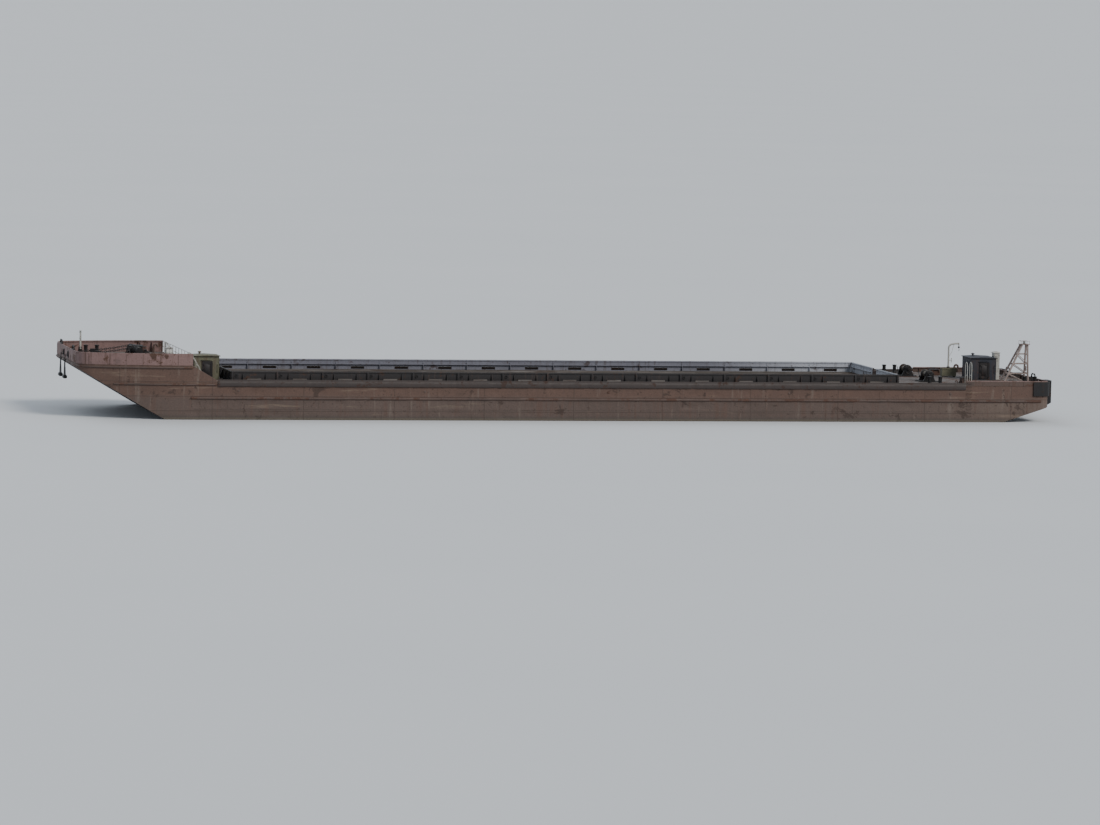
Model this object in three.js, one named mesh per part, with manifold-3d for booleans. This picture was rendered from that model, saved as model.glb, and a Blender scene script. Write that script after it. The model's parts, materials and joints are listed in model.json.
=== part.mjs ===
// A steel river deck barge, a 1:10 scale model of a craft 85 m long.
// Units are millimetres of the model, so 100 mm here is one metre on the real barge.
// The bow lies towards -X, port towards -Y and +Z is up. The origin is under the middle of the
// flat bottom, which the barge can stand on.
import * as THREE from "three";
import { mergeVertices } from "three/addons/utils/BufferGeometryUtils.js";
import Module from "manifold-3d";

const wasm = await Module();
wasm.setup();

// Hull
const LENGTH = 8500;
const HALF_BEAM = 815;
const DEPTH = 360;
const DECK_PLATE = 3;
const STEM_DEPTH = 30;
const BOW_RAKE = 805;
const TRANSOM_FOOT = 180;
const STERN_RAKE = 560;
const KNEE = 140;
const BILGE = 50;
const BOW = -LENGTH / 2;
const STERN = LENGTH / 2;
const HULL_TOP = DEPTH - DECK_PLATE;
const FULL_BEAM_FROM = BOW + 950;
const STERN_CORNER = 80;
const GAP = 0.3;
const ON_DECK = DEPTH + GAP;

// Raised forecastle deck, with a sloping wing of plate behind it on each side
const FORECASTLE = DEPTH + 140;
const ON_FORECASTLE = FORECASTLE + GAP;
const FORECASTLE_AFT = BOW + 960;
const WING_LENGTH = 210;
const WING_PLATE = 6;

// Rubbing strakes along the sides
const STRAKE_PROUD = 12;
const KERB_TOP = DEPTH + 25;
const KERB_PLATE = 6;
const FENDER_FOOT = 216;
const FENDER_HEIGHT = 24;

// Cargo space: low steel walls round a sheathed deck
const CARGO_FORE = -2950;
const CARGO_BAYS = 15;
const BAY = 390;
const CARGO_AFT = CARGO_FORE + CARGO_BAYS * BAY;
const WALL_OUTSIDE = 740;
const WALL_PLATE = 4;
const WALL_TOP = DEPTH + 88;
const RAIL_DEPTH = 9;
const RAIL_HALF = 6;
const GUSSET_REACH = 32;
const GUSSET_PLATE = 3;
const POST_HALF = 7;
const PORT_HALF = 60;
const PORT_FOOT = DEPTH + 7;
const PORT_HEIGHT = 24;
const SHEATHING = 5;
const GATE_HALF = 60;
const GATE_SILL = DEPTH + 7;
const GATE_PLAY = 4;

// Bulwarks at both ends
const BULWARK_PLATE = 4;
const BOW_BULWARK = 95;
const STERN_BULWARK = 40;
const STERN_BULWARK_FORE = STERN - 760;
const BULWARK_BREAK = 14;

// Anchor gear on the centre of the bow
const WINDLASS_X = BOW + 590;
const WINDLASS_SHAFT_Z = 75;
const CHAIN_Y = 130;
const HAWSE_HALF = 22;
const PROUD = 45;

// Places of the repeated pieces, as [name, x, y, the deck height they stand on]
const BOLLARDS = [
  ["bollard_bow_port", BOW + 300, -590, ON_FORECASTLE],
  ["bollard_bow_starboard", BOW + 300, 590, ON_FORECASTLE],
  ["bollard_aft_port", STERN - 1010, -700, ON_DECK],
  ["bollard_aft_starboard", STERN - 1010, 700, ON_DECK],
  ["bollard_stern_port", STERN - 130, -640, ON_DECK],
  ["bollard_stern_starboard", STERN - 130, 640, ON_DECK],
];
const HATCHES = [
  ["bow_port", BOW + 640, -520, ON_FORECASTLE],
  ["bow_starboard", BOW + 640, 520, ON_FORECASTLE],
  ["stern_port", STERN - 660, -470, ON_DECK],
  ["stern_starboard", STERN - 660, 470, ON_DECK],
];
const WINCHES = [
  ["port", STERN - 970, -330],
  ["starboard", STERN - 970, 330],
];
const VENTS = [
  ["vent_bow_starboard", BOW + 850, 640, ON_FORECASTLE],
  ["vent_stern_starboard", STERN - 420, 650, ON_DECK],
];
// Deck booths: x is the fore edge and y the middle. The doorway is in the port face.
const BOOTHS = [
  { name: "bow_booth", x: BOW + 1030, y: -360, long: 210, wide: 190, tall: 195 },
  { name: "stern_booth", x: STERN - 490, y: 40, long: 220, wide: 280, tall: 190 },
];
const BOOTH_WALL = 6;
// A ventilator trunk on the after face of the stern booth
const TRUNK = { y0: -50, y1: 20, deep: 48, tall: 236 };
const DOORWAY = { half: 36, sill: 14, top: 148 };

// Masts and davit
const BOW_MAST = { x: BOW + 120, y: 0, pivot: 85, yard: 170, top: 215, heel: 62, r: 7 };
const LAMP_POST = { x: BOW + 780, y: -660, top: 70, r: 9 };
const STERN_MAST = { x: STERN - 230, y: -500, half: 110, side: 60, top: 345, r: 9 };
const DAVIT = { x: STERN - 440, y: 768, top: 260, reach: 95, r: 8 };

// Push stops on the transom, for the bow of a pusher tug, each with a band round the stern corner
const STOP = { y: 660, half: 60, foot: 185, top: 405 };
const BAND = { foot: DEPTH - 85, top: DEPTH + 35, reach: 150, proud: 12 };
const SKEG = { y: 480, plate: 8, fore: 505, aft: 320, foot: 4 };

const SIDES = [
  ["port", -1],
  ["starboard", 1],
];

// Finishes
const finish = (color, roughness, metalness = 0.3) =>
  new THREE.MeshStandardMaterial({ color, roughness, metalness });
const hullRust = finish(0x6b4e40, 0.85);
const edgeRust = finish(0x7a5038, 0.85);
const deckSteel = finish(0x6a6360, 0.75);
const wallSteel = finish(0x3a302f, 0.8);
const bowPaint = finish(0x8a6664, 0.8);
const gearBlack = finish(0x2a2626, 0.6, 0.6);
const mastGrey = finish(0x9c9a94, 0.7);
const boothGrey = finish(0x5d5a4c, 0.8);
const planking = finish(0x6f6a64, 0.9, 0);

// Geometry helpers. Every solid is made by three.js, then joined or cut.
function solid(geometry) {
  const bare = geometry.index ? geometry.toNonIndexed() : geometry.clone();
  bare.deleteAttribute("normal");
  bare.deleteAttribute("uv");
  const merged = mergeVertices(bare, 1e-3);
  return new wasm.Manifold(
    new wasm.Mesh({
      numProp: 3,
      vertProperties: merged.attributes.position.array,
      triVerts: new Uint32Array(merged.index.array),
    }),
  );
}

const joined = (bodies) => bodies.reduce((all, one) => all.add(one));

// Corners are set to the stated numbers, so faces meant to be flush are exactly flush.
function block([x0, x1], [y0, y1], [z0, z1]) {
  const box = new THREE.BoxGeometry(2, 2, 2);
  const at = box.attributes.position;
  for (let i = 0; i < at.count; i++) {
    at.setXYZ(i, at.getX(i) < 0 ? x0 : x1, at.getY(i) < 0 ? y0 : y1, at.getZ(i) < 0 ? z0 : z1);
  }
  return solid(box);
}

const X = new THREE.Vector3(1, 0, 0);
const Y = new THREE.Vector3(0, 1, 0);
const Z = new THREE.Vector3(0, 0, 1);
// Carries a drawn outline into place: (x, z) runs along y, (y, z) runs along x, (x, y) runs along z.
const ALONG = {
  x: new THREE.Matrix4().makeBasis(Y, Z, X),
  y: new THREE.Matrix4().makeBasis(X, Z, Y.clone().negate()),
  z: new THREE.Matrix4(),
};

function prism(shape, axis, from, to) {
  const options = { depth: to - from, bevelEnabled: false, curveSegments: 6 };
  const geometry = new THREE.ExtrudeGeometry(shape, options);
  const [low, high] = axis === "y" ? [-to, -from] : [from, to];
  const at = geometry.attributes.position;
  for (let i = 0; i < at.count; i++) at.setZ(i, at.getZ(i) > 0 ? high : low);
  return solid(geometry.applyMatrix4(ALONG[axis]));
}

const outline = (points) => new THREE.Shape(points.map(([a, b]) => new THREE.Vector2(a, b)));

// A round bar from one point to another.
function rod(from, to, radius, sides = 8) {
  const a = new THREE.Vector3(...from);
  const b = new THREE.Vector3(...to);
  const bar = new THREE.CylinderGeometry(radius, radius, a.distanceTo(b), sides);
  const turn = new THREE.Quaternion().setFromUnitVectors(Y, b.clone().sub(a).normalize());
  const middle = a.add(b).multiplyScalar(0.5);
  return solid(bar.applyQuaternion(turn).translate(middle.x, middle.y, middle.z));
}

// A turned body whose profile is [radius, place along the axis], starting and ending on the axis.
function turned(profile, axis, [x, y, z], sides = 16) {
  const lathe = new THREE.LatheGeometry(
    profile.map(([r, h]) => new THREE.Vector2(r, h)),
    sides,
  );
  if (axis === "z") lathe.rotateX(Math.PI / 2);
  return solid(lathe.translate(x, y, z));
}

const barge = new THREE.Group();
function add(name, body, material) {
  const { vertProperties, triVerts } = body.getMesh();
  const geometry = new THREE.BufferGeometry();
  geometry.setAttribute("position", new THREE.BufferAttribute(vertProperties, 3));
  geometry.setIndex(new THREE.BufferAttribute(triVerts, 1));
  geometry.computeVertexNormals();
  const mesh = new THREE.Mesh(geometry, material);
  mesh.name = name;
  barge.add(mesh);
  return mesh;
}

// The barge seen from above, drawn in by a margin.
function planOutline(margin) {
  const side = HALF_BEAM - margin;
  const fore = BOW + margin;
  const aft = STERN - margin;
  const corner = STERN_CORNER;
  const shape = new THREE.Shape();
  shape.moveTo(fore, 0);
  shape.lineTo(fore, -540);
  shape.quadraticCurveTo(fore, -side + 115, BOW + 170, -side + 95);
  shape.quadraticCurveTo(BOW + 520, -side, FULL_BEAM_FROM, -side);
  shape.lineTo(aft - corner, -side);
  shape.quadraticCurveTo(aft, -side, aft, -side + corner);
  shape.lineTo(aft, side - corner);
  shape.quadraticCurveTo(aft, side, aft - corner, side);
  shape.lineTo(FULL_BEAM_FROM, side);
  shape.quadraticCurveTo(BOW + 520, side, BOW + 170, side - 95);
  shape.quadraticCurveTo(fore, side - 115, fore, 540);
  shape.closePath();
  return shape;
}

function hull() {
  const bowTop = FORECASTLE - DECK_PLATE;
  const slope = (bowTop - STEM_DEPTH) / BOW_RAKE;
  const rise = TRANSOM_FOOT / STERN_RAKE;
  const side = new THREE.Shape();
  side.moveTo(BOW, bowTop);
  side.lineTo(BOW, bowTop - STEM_DEPTH);
  side.lineTo(BOW + BOW_RAKE - KNEE, KNEE * slope);
  side.quadraticCurveTo(BOW + BOW_RAKE, 0, BOW + BOW_RAKE + KNEE, 0);
  side.lineTo(STERN - STERN_RAKE - KNEE, 0);
  side.quadraticCurveTo(STERN - STERN_RAKE, 0, STERN - STERN_RAKE + KNEE, KNEE * rise);
  side.lineTo(STERN, TRANSOM_FOOT);
  side.lineTo(STERN, HULL_TOP);
  side.lineTo(FORECASTLE_AFT, HULL_TOP);
  side.lineTo(FORECASTLE_AFT, bowTop);
  side.closePath();
  const section = new THREE.Shape();
  section.moveTo(-HALF_BEAM, bowTop);
  section.lineTo(-HALF_BEAM, BILGE);
  section.quadraticCurveTo(-HALF_BEAM, 0, -HALF_BEAM + BILGE, 0);
  section.lineTo(HALF_BEAM - BILGE, 0);
  section.quadraticCurveTo(HALF_BEAM, 0, HALF_BEAM, BILGE);
  section.lineTo(HALF_BEAM, bowTop);
  section.closePath();
  const wing = outline([
    [FORECASTLE_AFT - 1, HULL_TOP - 1],
    [FORECASTLE_AFT + WING_LENGTH, HULL_TOP - 1],
    [FORECASTLE_AFT + WING_LENGTH, DEPTH + 12],
    [FORECASTLE_AFT - 1, bowTop],
  ]);
  const wings = SIDES.map(([, s]) => {
    const [low, high] = s > 0 ? [HALF_BEAM - WING_PLATE, HALF_BEAM] : [-HALF_BEAM, WING_PLATE - HALF_BEAM];
    return prism(wing, "y", low, high);
  });
  const body = prism(side, "y", -HALF_BEAM, HALF_BEAM)
    .intersect(prism(planOutline(0), "z", 0, bowTop))
    .intersect(prism(section, "x", BOW, STERN));
  add("hull", joined([body, ...wings]), hullRust);

  const plan = (low, high) => prism(planOutline(0), "z", low, high);
  const main = plan(HULL_TOP, DEPTH).intersect(block([FORECASTLE_AFT, STERN], [-900, 900], [0, DEPTH]));
  add("deck", main.subtract(joined(wings)), deckSteel);
  const raised = plan(bowTop, FORECASTLE).intersect(block([BOW, FORECASTLE_AFT], [-900, 900], [0, FORECASTLE]));
  add("forecastle_deck", raised, deckSteel);
}

// Deck edge strake with its kerb, and a second strake lower down, on each side.
function strakes() {
  const inside = HALF_BEAM + GAP;
  const outside = HALF_BEAM + STRAKE_PROUD;
  for (const [side, s] of SIDES) {
    const mirrored = (points) => outline(s > 0 ? points : points.map(([y, z]) => [-y, z]).reverse());
    const gunwale = mirrored([
      [inside, HULL_TOP - 32],
      [outside, HULL_TOP - 28],
      [outside, DEPTH],
      [inside + 1, DEPTH + 9],
      [inside, KERB_TOP],
      [inside - KERB_PLATE, KERB_TOP],
      [inside - KERB_PLATE, ON_DECK],
      [inside, ON_DECK],
    ]);
    add(`gunwale_${side}`, prism(gunwale, "x", FORECASTLE_AFT + WING_LENGTH + 5, STERN_BULWARK_FORE - 5), edgeRust);
    const fender = mirrored([
      [inside, FENDER_FOOT],
      [outside, FENDER_FOOT + 6],
      [outside, FENDER_FOOT + FENDER_HEIGHT - 6],
      [inside, FENDER_FOOT + FENDER_HEIGHT],
    ]);
    add(`fender_${side}`, prism(fender, "x", FULL_BEAM_FROM, STERN - STERN_CORNER), edgeRust);
  }
}

// Pieces welded into one wall all reach a little under the deck and are cut level with it together.
const FOOT = ON_DECK - 4;
const cutAtDeck = (body) => body.intersect(block([BOW, STERN], [-900, 900], [ON_DECK, DEPTH + 500]));

// One bent gusset outline: from the foot of a wall out along the deck, then up to a narrow head.
const gussetOutline = (wall, reach) => [
  [wall, FOOT],
  [wall + reach, FOOT],
  [wall + reach * 0.25, WALL_TOP - 16],
  [wall, WALL_TOP - 16],
];

function cargoSideWall(side, s) {
  const inner = WALL_OUTSIDE - WALL_PLATE;
  const across = (a, b) => (s > 0 ? [a, b] : [-b, -a]);
  let wall = block([CARGO_FORE, CARGO_AFT], across(inner, WALL_OUTSIDE), [FOOT, WALL_TOP - 2]);
  const parts = [
    block(
      [CARGO_FORE, CARGO_AFT],
      across(WALL_OUTSIDE - RAIL_HALF - 2, WALL_OUTSIDE + RAIL_HALF),
      [WALL_TOP - RAIL_DEPTH, WALL_TOP],
    ),
  ];
  const points = gussetOutline(WALL_OUTSIDE - 1, GUSSET_REACH);
  const gusset = outline(s > 0 ? points : points.map(([y, z]) => [-y, z]).reverse());
  for (let bay = 0; bay <= CARGO_BAYS; bay++) {
    const x = Math.min(Math.max(CARGO_FORE + bay * BAY, CARGO_FORE + POST_HALF), CARGO_AFT - POST_HALF);
    const depth = across(WALL_OUTSIDE - 1, WALL_OUTSIDE + 12);
    parts.push(block([x - POST_HALF, x + POST_HALF], depth, [FOOT, WALL_TOP - 1]));
    if (bay === CARGO_BAYS) break;
    const middle = CARGO_FORE + (bay + 0.5) * BAY;
    wall = wall.subtract(
      block(
        [middle - PORT_HALF, middle + PORT_HALF],
        across(inner - 5, WALL_OUTSIDE + 5),
        [PORT_FOOT, PORT_FOOT + PORT_HEIGHT],
      ),
    );
    for (const share of [0.25, 0.75]) {
      const at = CARGO_FORE + (bay + share) * BAY;
      parts.push(prism(gusset, "x", at - GUSSET_PLATE / 2, at + GUSSET_PLATE / 2));
    }
  }
  add(`cargo_wall_${side}`, cutAtDeck(joined([wall, ...parts])), wallSteel);
}

// The wall across one end, with the gateway in its middle. out is -1 at the fore end, 1 at the aft end.
function cargoEndWall(end, face, out) {
  const half = WALL_OUTSIDE - RAIL_HALF - 3;
  const between = (a, b) => (out > 0 ? [face + a, face + b] : [face - b, face - a]);
  const sheet = block(between(-WALL_PLATE, 0), [-half, half], [FOOT, WALL_TOP - 2]);
  const rail = block(
    between(-RAIL_HALF - 2, RAIL_HALF),
    [-half, half],
    [WALL_TOP - RAIL_DEPTH, WALL_TOP],
  );
  const gateway = block([face - 20, face + 20], [-GATE_HALF, GATE_HALF], [GATE_SILL, WALL_TOP + 1]);
  const points = gussetOutline(-1, GUSSET_REACH).map(([a, z]) => [face + out * a, z]);
  const gusset = outline(out > 0 ? points : points.reverse());
  const parts = [sheet.add(rail).subtract(gateway)];
  for (const y of [150, 310, 470, 630]) {
    for (const [, s] of SIDES) {
      parts.push(prism(gusset, "y", s * y - GUSSET_PLATE / 2, s * y + GUSSET_PLATE / 2));
    }
  }
  for (const [, s] of SIDES) {
    const post = s > 0 ? [GATE_HALF, GATE_HALF + 14] : [-GATE_HALF - 14, -GATE_HALF];
    parts.push(block(between(-1, 14), post, [FOOT, WALL_TOP - 1]));
  }
  // Lugs above and below the gate's barrel, on the starboard post.
  for (const z of [GATE_SILL, WALL_TOP - 14]) {
    parts.push(block(between(5, 23), [GATE_HALF - 9, GATE_HALF + 8], [z, z + 5]));
  }
  add(`cargo_wall_${end}`, cutAtDeck(joined(parts)), wallSteel);

  const hinge = [face + out * 18, GATE_HALF - 3];
  const foot = GATE_SILL + 6;
  const top = WALL_TOP - 15;
  const leaf = block(between(-4, 0), [-GATE_HALF + GATE_PLAY, GATE_HALF - 8], [foot, top]);
  const frame = block(between(-4, 8), [-GATE_HALF + GATE_PLAY, GATE_HALF - 8], [top - 10, top]);
  const strap = block(between(-2, 20), [GATE_HALF - 14, GATE_HALF - 9], [foot, top]);
  const arm = block(between(13, 20), [GATE_HALF - 14, GATE_HALF - 3], [foot, top]);
  const barrel = rod([...hinge, foot], [...hinge, top], 4, 12);
  add(`gate_${end}`, joined([leaf, frame, strap, arm, barrel]), edgeRust);
}

function cargoSpace() {
  for (const [side, s] of SIDES) cargoSideWall(side, s);
  cargoEndWall("fore", CARGO_FORE, -1);
  cargoEndWall("aft", CARGO_AFT, 1);
  const sheet = WALL_OUTSIDE - WALL_PLATE - 9;
  const ends = [CARGO_FORE + 12, CARGO_AFT - 12];
  add("cargo_deck", block(ends, [-sheet, sheet], [ON_DECK, DEPTH + SHEATHING]), planking);
}

// Bulwark plating follows the deck edge, split into a front and two sides, with stays inside.
function bulwarks() {
  const ring = (deck, height) =>
    prism(planOutline(0.5), "z", deck + GAP, deck + height).subtract(
      prism(planOutline(0.5 + BULWARK_PLATE), "z", deck - 5, deck + height + 5),
    );
  const rail = (deck, height) =>
    prism(planOutline(0.5), "z", deck + height - 6, deck + height).subtract(
      prism(planOutline(11), "z", deck + height - 10, deck + height + 5),
    );
  const frontEdge = 500;
  const stay = (x, y, out, deck, height, alongX) => {
    const points = [
      [0, deck + GAP],
      [height * 0.45, deck + GAP],
      [10, deck + height - 3],
      [0, deck + height - 3],
    ].map(([a, z]) => [(alongX ? x : y) - out * a, z]);
    const shape = outline(out < 0 ? points : points.reverse());
    return alongX
      ? prism(shape, "y", y - 1.5, y + 1.5)
      : prism(shape, "x", x - 1.5, x + 1.5);
  };
  const ends = [
    {
      name: "bow",
      deck: FORECASTLE,
      height: BOW_BULWARK,
      reach: [BOW - 20, FORECASTLE_AFT],
      edge: BOW,
      out: -1,
      props: [BOW + 860, BOW + 740],
      edgeY: HALF_BEAM - 9,
    },
    {
      name: "stern",
      deck: DEPTH,
      height: STERN_BULWARK,
      reach: [STERN_BULWARK_FORE, STERN + 20],
      edge: STERN,
      out: 1,
      props: [STERN - 700, STERN - 520, STERN - 340, STERN - 180],
      edgeY: HALF_BEAM - 2,
    },
  ];
  for (const { name, deck, height, reach, edge, out, props, edgeY } of ends) {
    const high = [deck - 10, deck + 400];
    const whole = ring(deck, height).add(rail(deck, height));
    const body = whole.intersect(block(reach, [-900, 900], high));
    const front = body.intersect(block([edge - 60, edge + 60], [-frontEdge, frontEdge], high));
    const stays = [-320, 0, 320].map((y) => stay(edge - out * 2, y, out, deck, height, true));
    let plate = joined([front, ...stays]);
    if (name === "bow") {
      for (const [, s] of SIDES) {
        const hole = [s * CHAIN_Y - HAWSE_HALF, s * CHAIN_Y + HAWSE_HALF];
        plate = plate.subtract(block([BOW - 30, BOW + 60], hole, [deck + 18, deck + 66]));
      }
    }
    add(`bulwark_${name}_front`, plate, bowPaint);
    for (const [side, s] of SIDES) {
      const beyond = [frontEdge + BULWARK_BREAK, 900];
      const half = body.intersect(block(reach, s > 0 ? beyond : [-900, -beyond[0]], high));
      const braces = props.map((x) => stay(x, s * edgeY, s, deck, height, false));
      add(`bulwark_${name}_${side}`, joined([half, ...braces]), bowPaint);
    }
  }
}

// Two posts on a base plate.
function bollards() {
  for (const [name, x, y, deck] of BOLLARDS) {
    const posts = [-48, 48].map((dx) =>
      turned(
        [
          [0, 0],
          [16, 0],
          [16, 62],
          [20, 66],
          [20, 72],
          [0, 75],
        ],
        "z",
        [x + dx, y, deck],
        12,
      ),
    );
    const base = block([x - 80, x + 80], [y - 26, y + 26], [deck, deck + 5]);
    add(name, joined([base, ...posts]), gearBlack);
  }
}

// A square coaming with a hinged lid. The hinge lies on the inboard side.
function hatches() {
  const half = 42;
  const wall = 4;
  const height = 45;
  for (const [name, x, y, deck] of HATCHES) {
    const inboard = y > 0 ? -1 : 1;
    const top = deck + height;
    const outside = block([x - half, x + half], [y - half, y + half], [deck, top]);
    const inside = block(
      [x - half + wall, x + half - wall],
      [y - half + wall, y + half - wall],
      [deck - 5, top + 5],
    );
    const hinge = y + inboard * (half + 8);
    const from = (a, b) => (inboard > 0 ? [y + a, y + b] : [y - b, y - a]);
    const lugs = [-31, 31].map((dx) =>
      block([x + dx - 4, x + dx + 4], from(half - 1, half + 10), [top - 14, top + 6]),
    );
    add(`hatch_coaming_${name}`, joined([outside.subtract(inside), ...lugs]), edgeRust);
    const lidFoot = top + 0.5;
    const plate = block([x - half - 5, x + half + 5], from(-half - 5, half - 3), [lidFoot, lidFoot + 5]);
    const strap = block([x - 25, x + 25], from(half - 5, half + 8), [lidFoot, lidFoot + 5]);
    const barrel = rod([x - 25, hinge, lidFoot + 2.5], [x + 25, hinge, lidFoot + 2.5], 3, 12);
    const grip = block([x - 14, x + 14], from(-half + 8, -half + 12), [lidFoot + 4, lidFoot + 14]);
    add(`hatch_lid_${name}`, joined([plate, strap, barrel, grip]), wallSteel);
  }
}

// Windlass: gear case and two bearing stands on a bed, and one shaft with chain wheels and heads.
function windlass() {
  const x = WINDLASS_X;
  const z = ON_FORECASTLE + WINDLASS_SHAFT_Z;
  const bed = block([x - 75, x + 75], [-200, 200], [ON_FORECASTLE, ON_FORECASTLE + 12]);
  const gearCase = block([x - 48, x + 60], [-45, 45], [ON_FORECASTLE + 10, ON_FORECASTLE + 112]);
  const motor = rod([x + 50, 0, ON_FORECASTLE + 40], [x + 118, 0, ON_FORECASTLE + 40], 24, 12);
  const motorFoot = block([x + 55, x + 115], [-18, 18], [ON_FORECASTLE, ON_FORECASTLE + 30]);
  const stands = SIDES.map(([, s]) =>
    prism(
      outline([
        [x - 50, ON_FORECASTLE + 10],
        [x + 50, ON_FORECASTLE + 10],
        [x + 18, z + 18],
        [x - 18, z + 18],
      ]),
      "y",
      s * 183 - 8,
      s * 183 + 8,
    ),
  );
  const bore = rod([x, -220, z], [x, 220, z], 11.5, 16);
  const frame = joined([bed, gearCase, motor, motorFoot, ...stands]).subtract(bore);
  add("windlass_frame", frame, gearBlack);

  // Half of the shaft, from the middle out to the end of the warping head.
  const half = [
    [10, 50],
    [24, 50.5],
    [24, 62],
    [40, 64],
    [40, 80],
    [24, 82],
    [24, 104],
    [36, 108],
    [36, 114],
    [27, 120],
    [27, 140],
    [36, 146],
    [36, 152],
    [24, 156],
    [24, 168],
    [10, 169],
    [10, 197],
    [22, 198],
    [32, 204],
    [24, 220],
    [24, 236],
    [34, 248],
  ];
  const profile = [
    [0, -252],
    ...half.map(([r, h]) => [r, -h]).reverse(),
    ...half,
    [0, 252],
  ];
  add("windlass_shaft", turned(profile, "y", [x, 0, z], 12), gearBlack);
}

function winches() {
  for (const [side, x, y] of WINCHES) {
    const z = ON_DECK + 62;
    const bed = block([x - 80, x + 80], [y - 85, y + 85], [ON_DECK, ON_DECK + 10]);
    const cheeks = [-70, 70].map((dy) =>
      prism(
        outline([
          [x - 55, ON_DECK + 8],
          [x + 55, ON_DECK + 8],
          [x + 20, z + 22],
          [x - 20, z + 22],
        ]),
        "y",
        y + dy - 5,
        y + dy + 5,
      ),
    );
    const tie = rod([x + 44, y - 70, ON_DECK + 22], [x + 44, y + 70, ON_DECK + 22], 5);
    const bore = rod([x, y - 100, z], [x, y + 100, z], 9.5, 16);
    add(`winch_frame_${side}`, joined([bed, ...cheeks, tie]).subtract(bore), gearBlack);
    const profile = [
      [0, -106],
      [8, -106],
      [8, -58],
      [42, -57],
      [42, -52],
      [22, -50],
      [22, 50],
      [42, 52],
      [42, 57],
      [8, 58],
      [8, 82],
      [34, 83],
      [34, 93],
      [8, 94],
      [0, 100],
    ];
    add(`winch_drum_${side}`, turned(profile, "y", [x, y, z]), gearBlack);
  }
}

// A link is a flat loop of square bar. Every second one stands on edge.
function chain(path, pitch) {
  const curve = new THREE.CurvePath();
  for (let i = 0; i + 1 < path.length; i++) {
    curve.add(new THREE.LineCurve3(new THREE.Vector3(...path[i]), new THREE.Vector3(...path[i + 1])));
  }
  const links = Math.round(curve.getLength() / pitch);
  const bodies = [];
  for (let i = 0; i < links; i++) {
    const at = curve.getPointAt((i + 0.5) / links);
    const ahead = curve.getTangentAt((i + 0.5) / links);
    bodies.push(link(at, ahead, i % 2 === 0, pitch));
  }
  return joined(bodies);
}

function link(at, ahead, flat, pitch) {
  const bar = 4.4;
  const long = pitch / 2 + bar * 0.9;
  const wide = 7;
  const loop = (a, b) => [
    [-a, 0],
    [-a + b, -b],
    [a - b, -b],
    [a, 0],
    [a - b, b],
    [-a + b, b],
  ];
  const shape = outline(loop(long, wide));
  shape.holes.push(outline(loop(long - bar, wide - bar)));
  const geometry = new THREE.ExtrudeGeometry(shape, { depth: bar, bevelEnabled: false });
  geometry.translate(0, 0, -bar / 2);
  if (!flat) geometry.rotateX(Math.PI / 2);
  const turn = new THREE.Quaternion().setFromUnitVectors(X, ahead);
  return solid(geometry.applyQuaternion(turn).translate(at.x, at.y, at.z));
}

// Stowed anchors hang against the stem, each on its own chain from the windlass.
function anchors() {
  const hang = BOW - PROUD + 17;
  const eye = FORECASTLE - 8;
  for (const [side, s] of SIDES) {
    const y = s * CHAIN_Y;
    const crown = eye - 135;
    const shank = prism(
      outline([
        [y - 7, eye],
        [y - 11, crown],
        [y + 11, crown],
        [y + 7, eye],
      ]),
      "x",
      hang - 6,
      hang + 6,
    );
    const head = block([hang - 17, hang + 17], [y - 34, y + 34], [crown - 20, crown + 10]);
    const stock = rod([hang, y - 72, crown - 6], [hang, y + 72, crown - 6], 5);
    const flukes = SIDES.map(([, f]) => {
      const points = [
        [y + f * 14, crown],
        [y + f * 50, crown + 4],
        [y + f * 38, crown + 60],
        [y + f * 20, crown + 98],
        [y + f * 14, crown + 70],
      ];
      return prism(outline(f > 0 ? points : points.reverse()), "x", hang - 4, hang + 4);
    });
    const ring = block([hang - 5, hang + 5], [y - 9, y + 9], [eye - 4, eye + 6]);
    add(`anchor_${side}`, joined([shank, head, stock, ...flukes, ring]), gearBlack);
    const path = [
      [WINDLASS_X - 46, y, ON_FORECASTLE + WINDLASS_SHAFT_Z - 18],
      [BOW + 30, y, FORECASTLE + 44],
      [BOW - 12, y, FORECASTLE + 40],
      [hang, y, FORECASTLE + 26],
      [hang, y, eye + 12],
    ];
    add(`anchor_chain_${side}`, chain(path, 26), gearBlack);
  }
}

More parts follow.
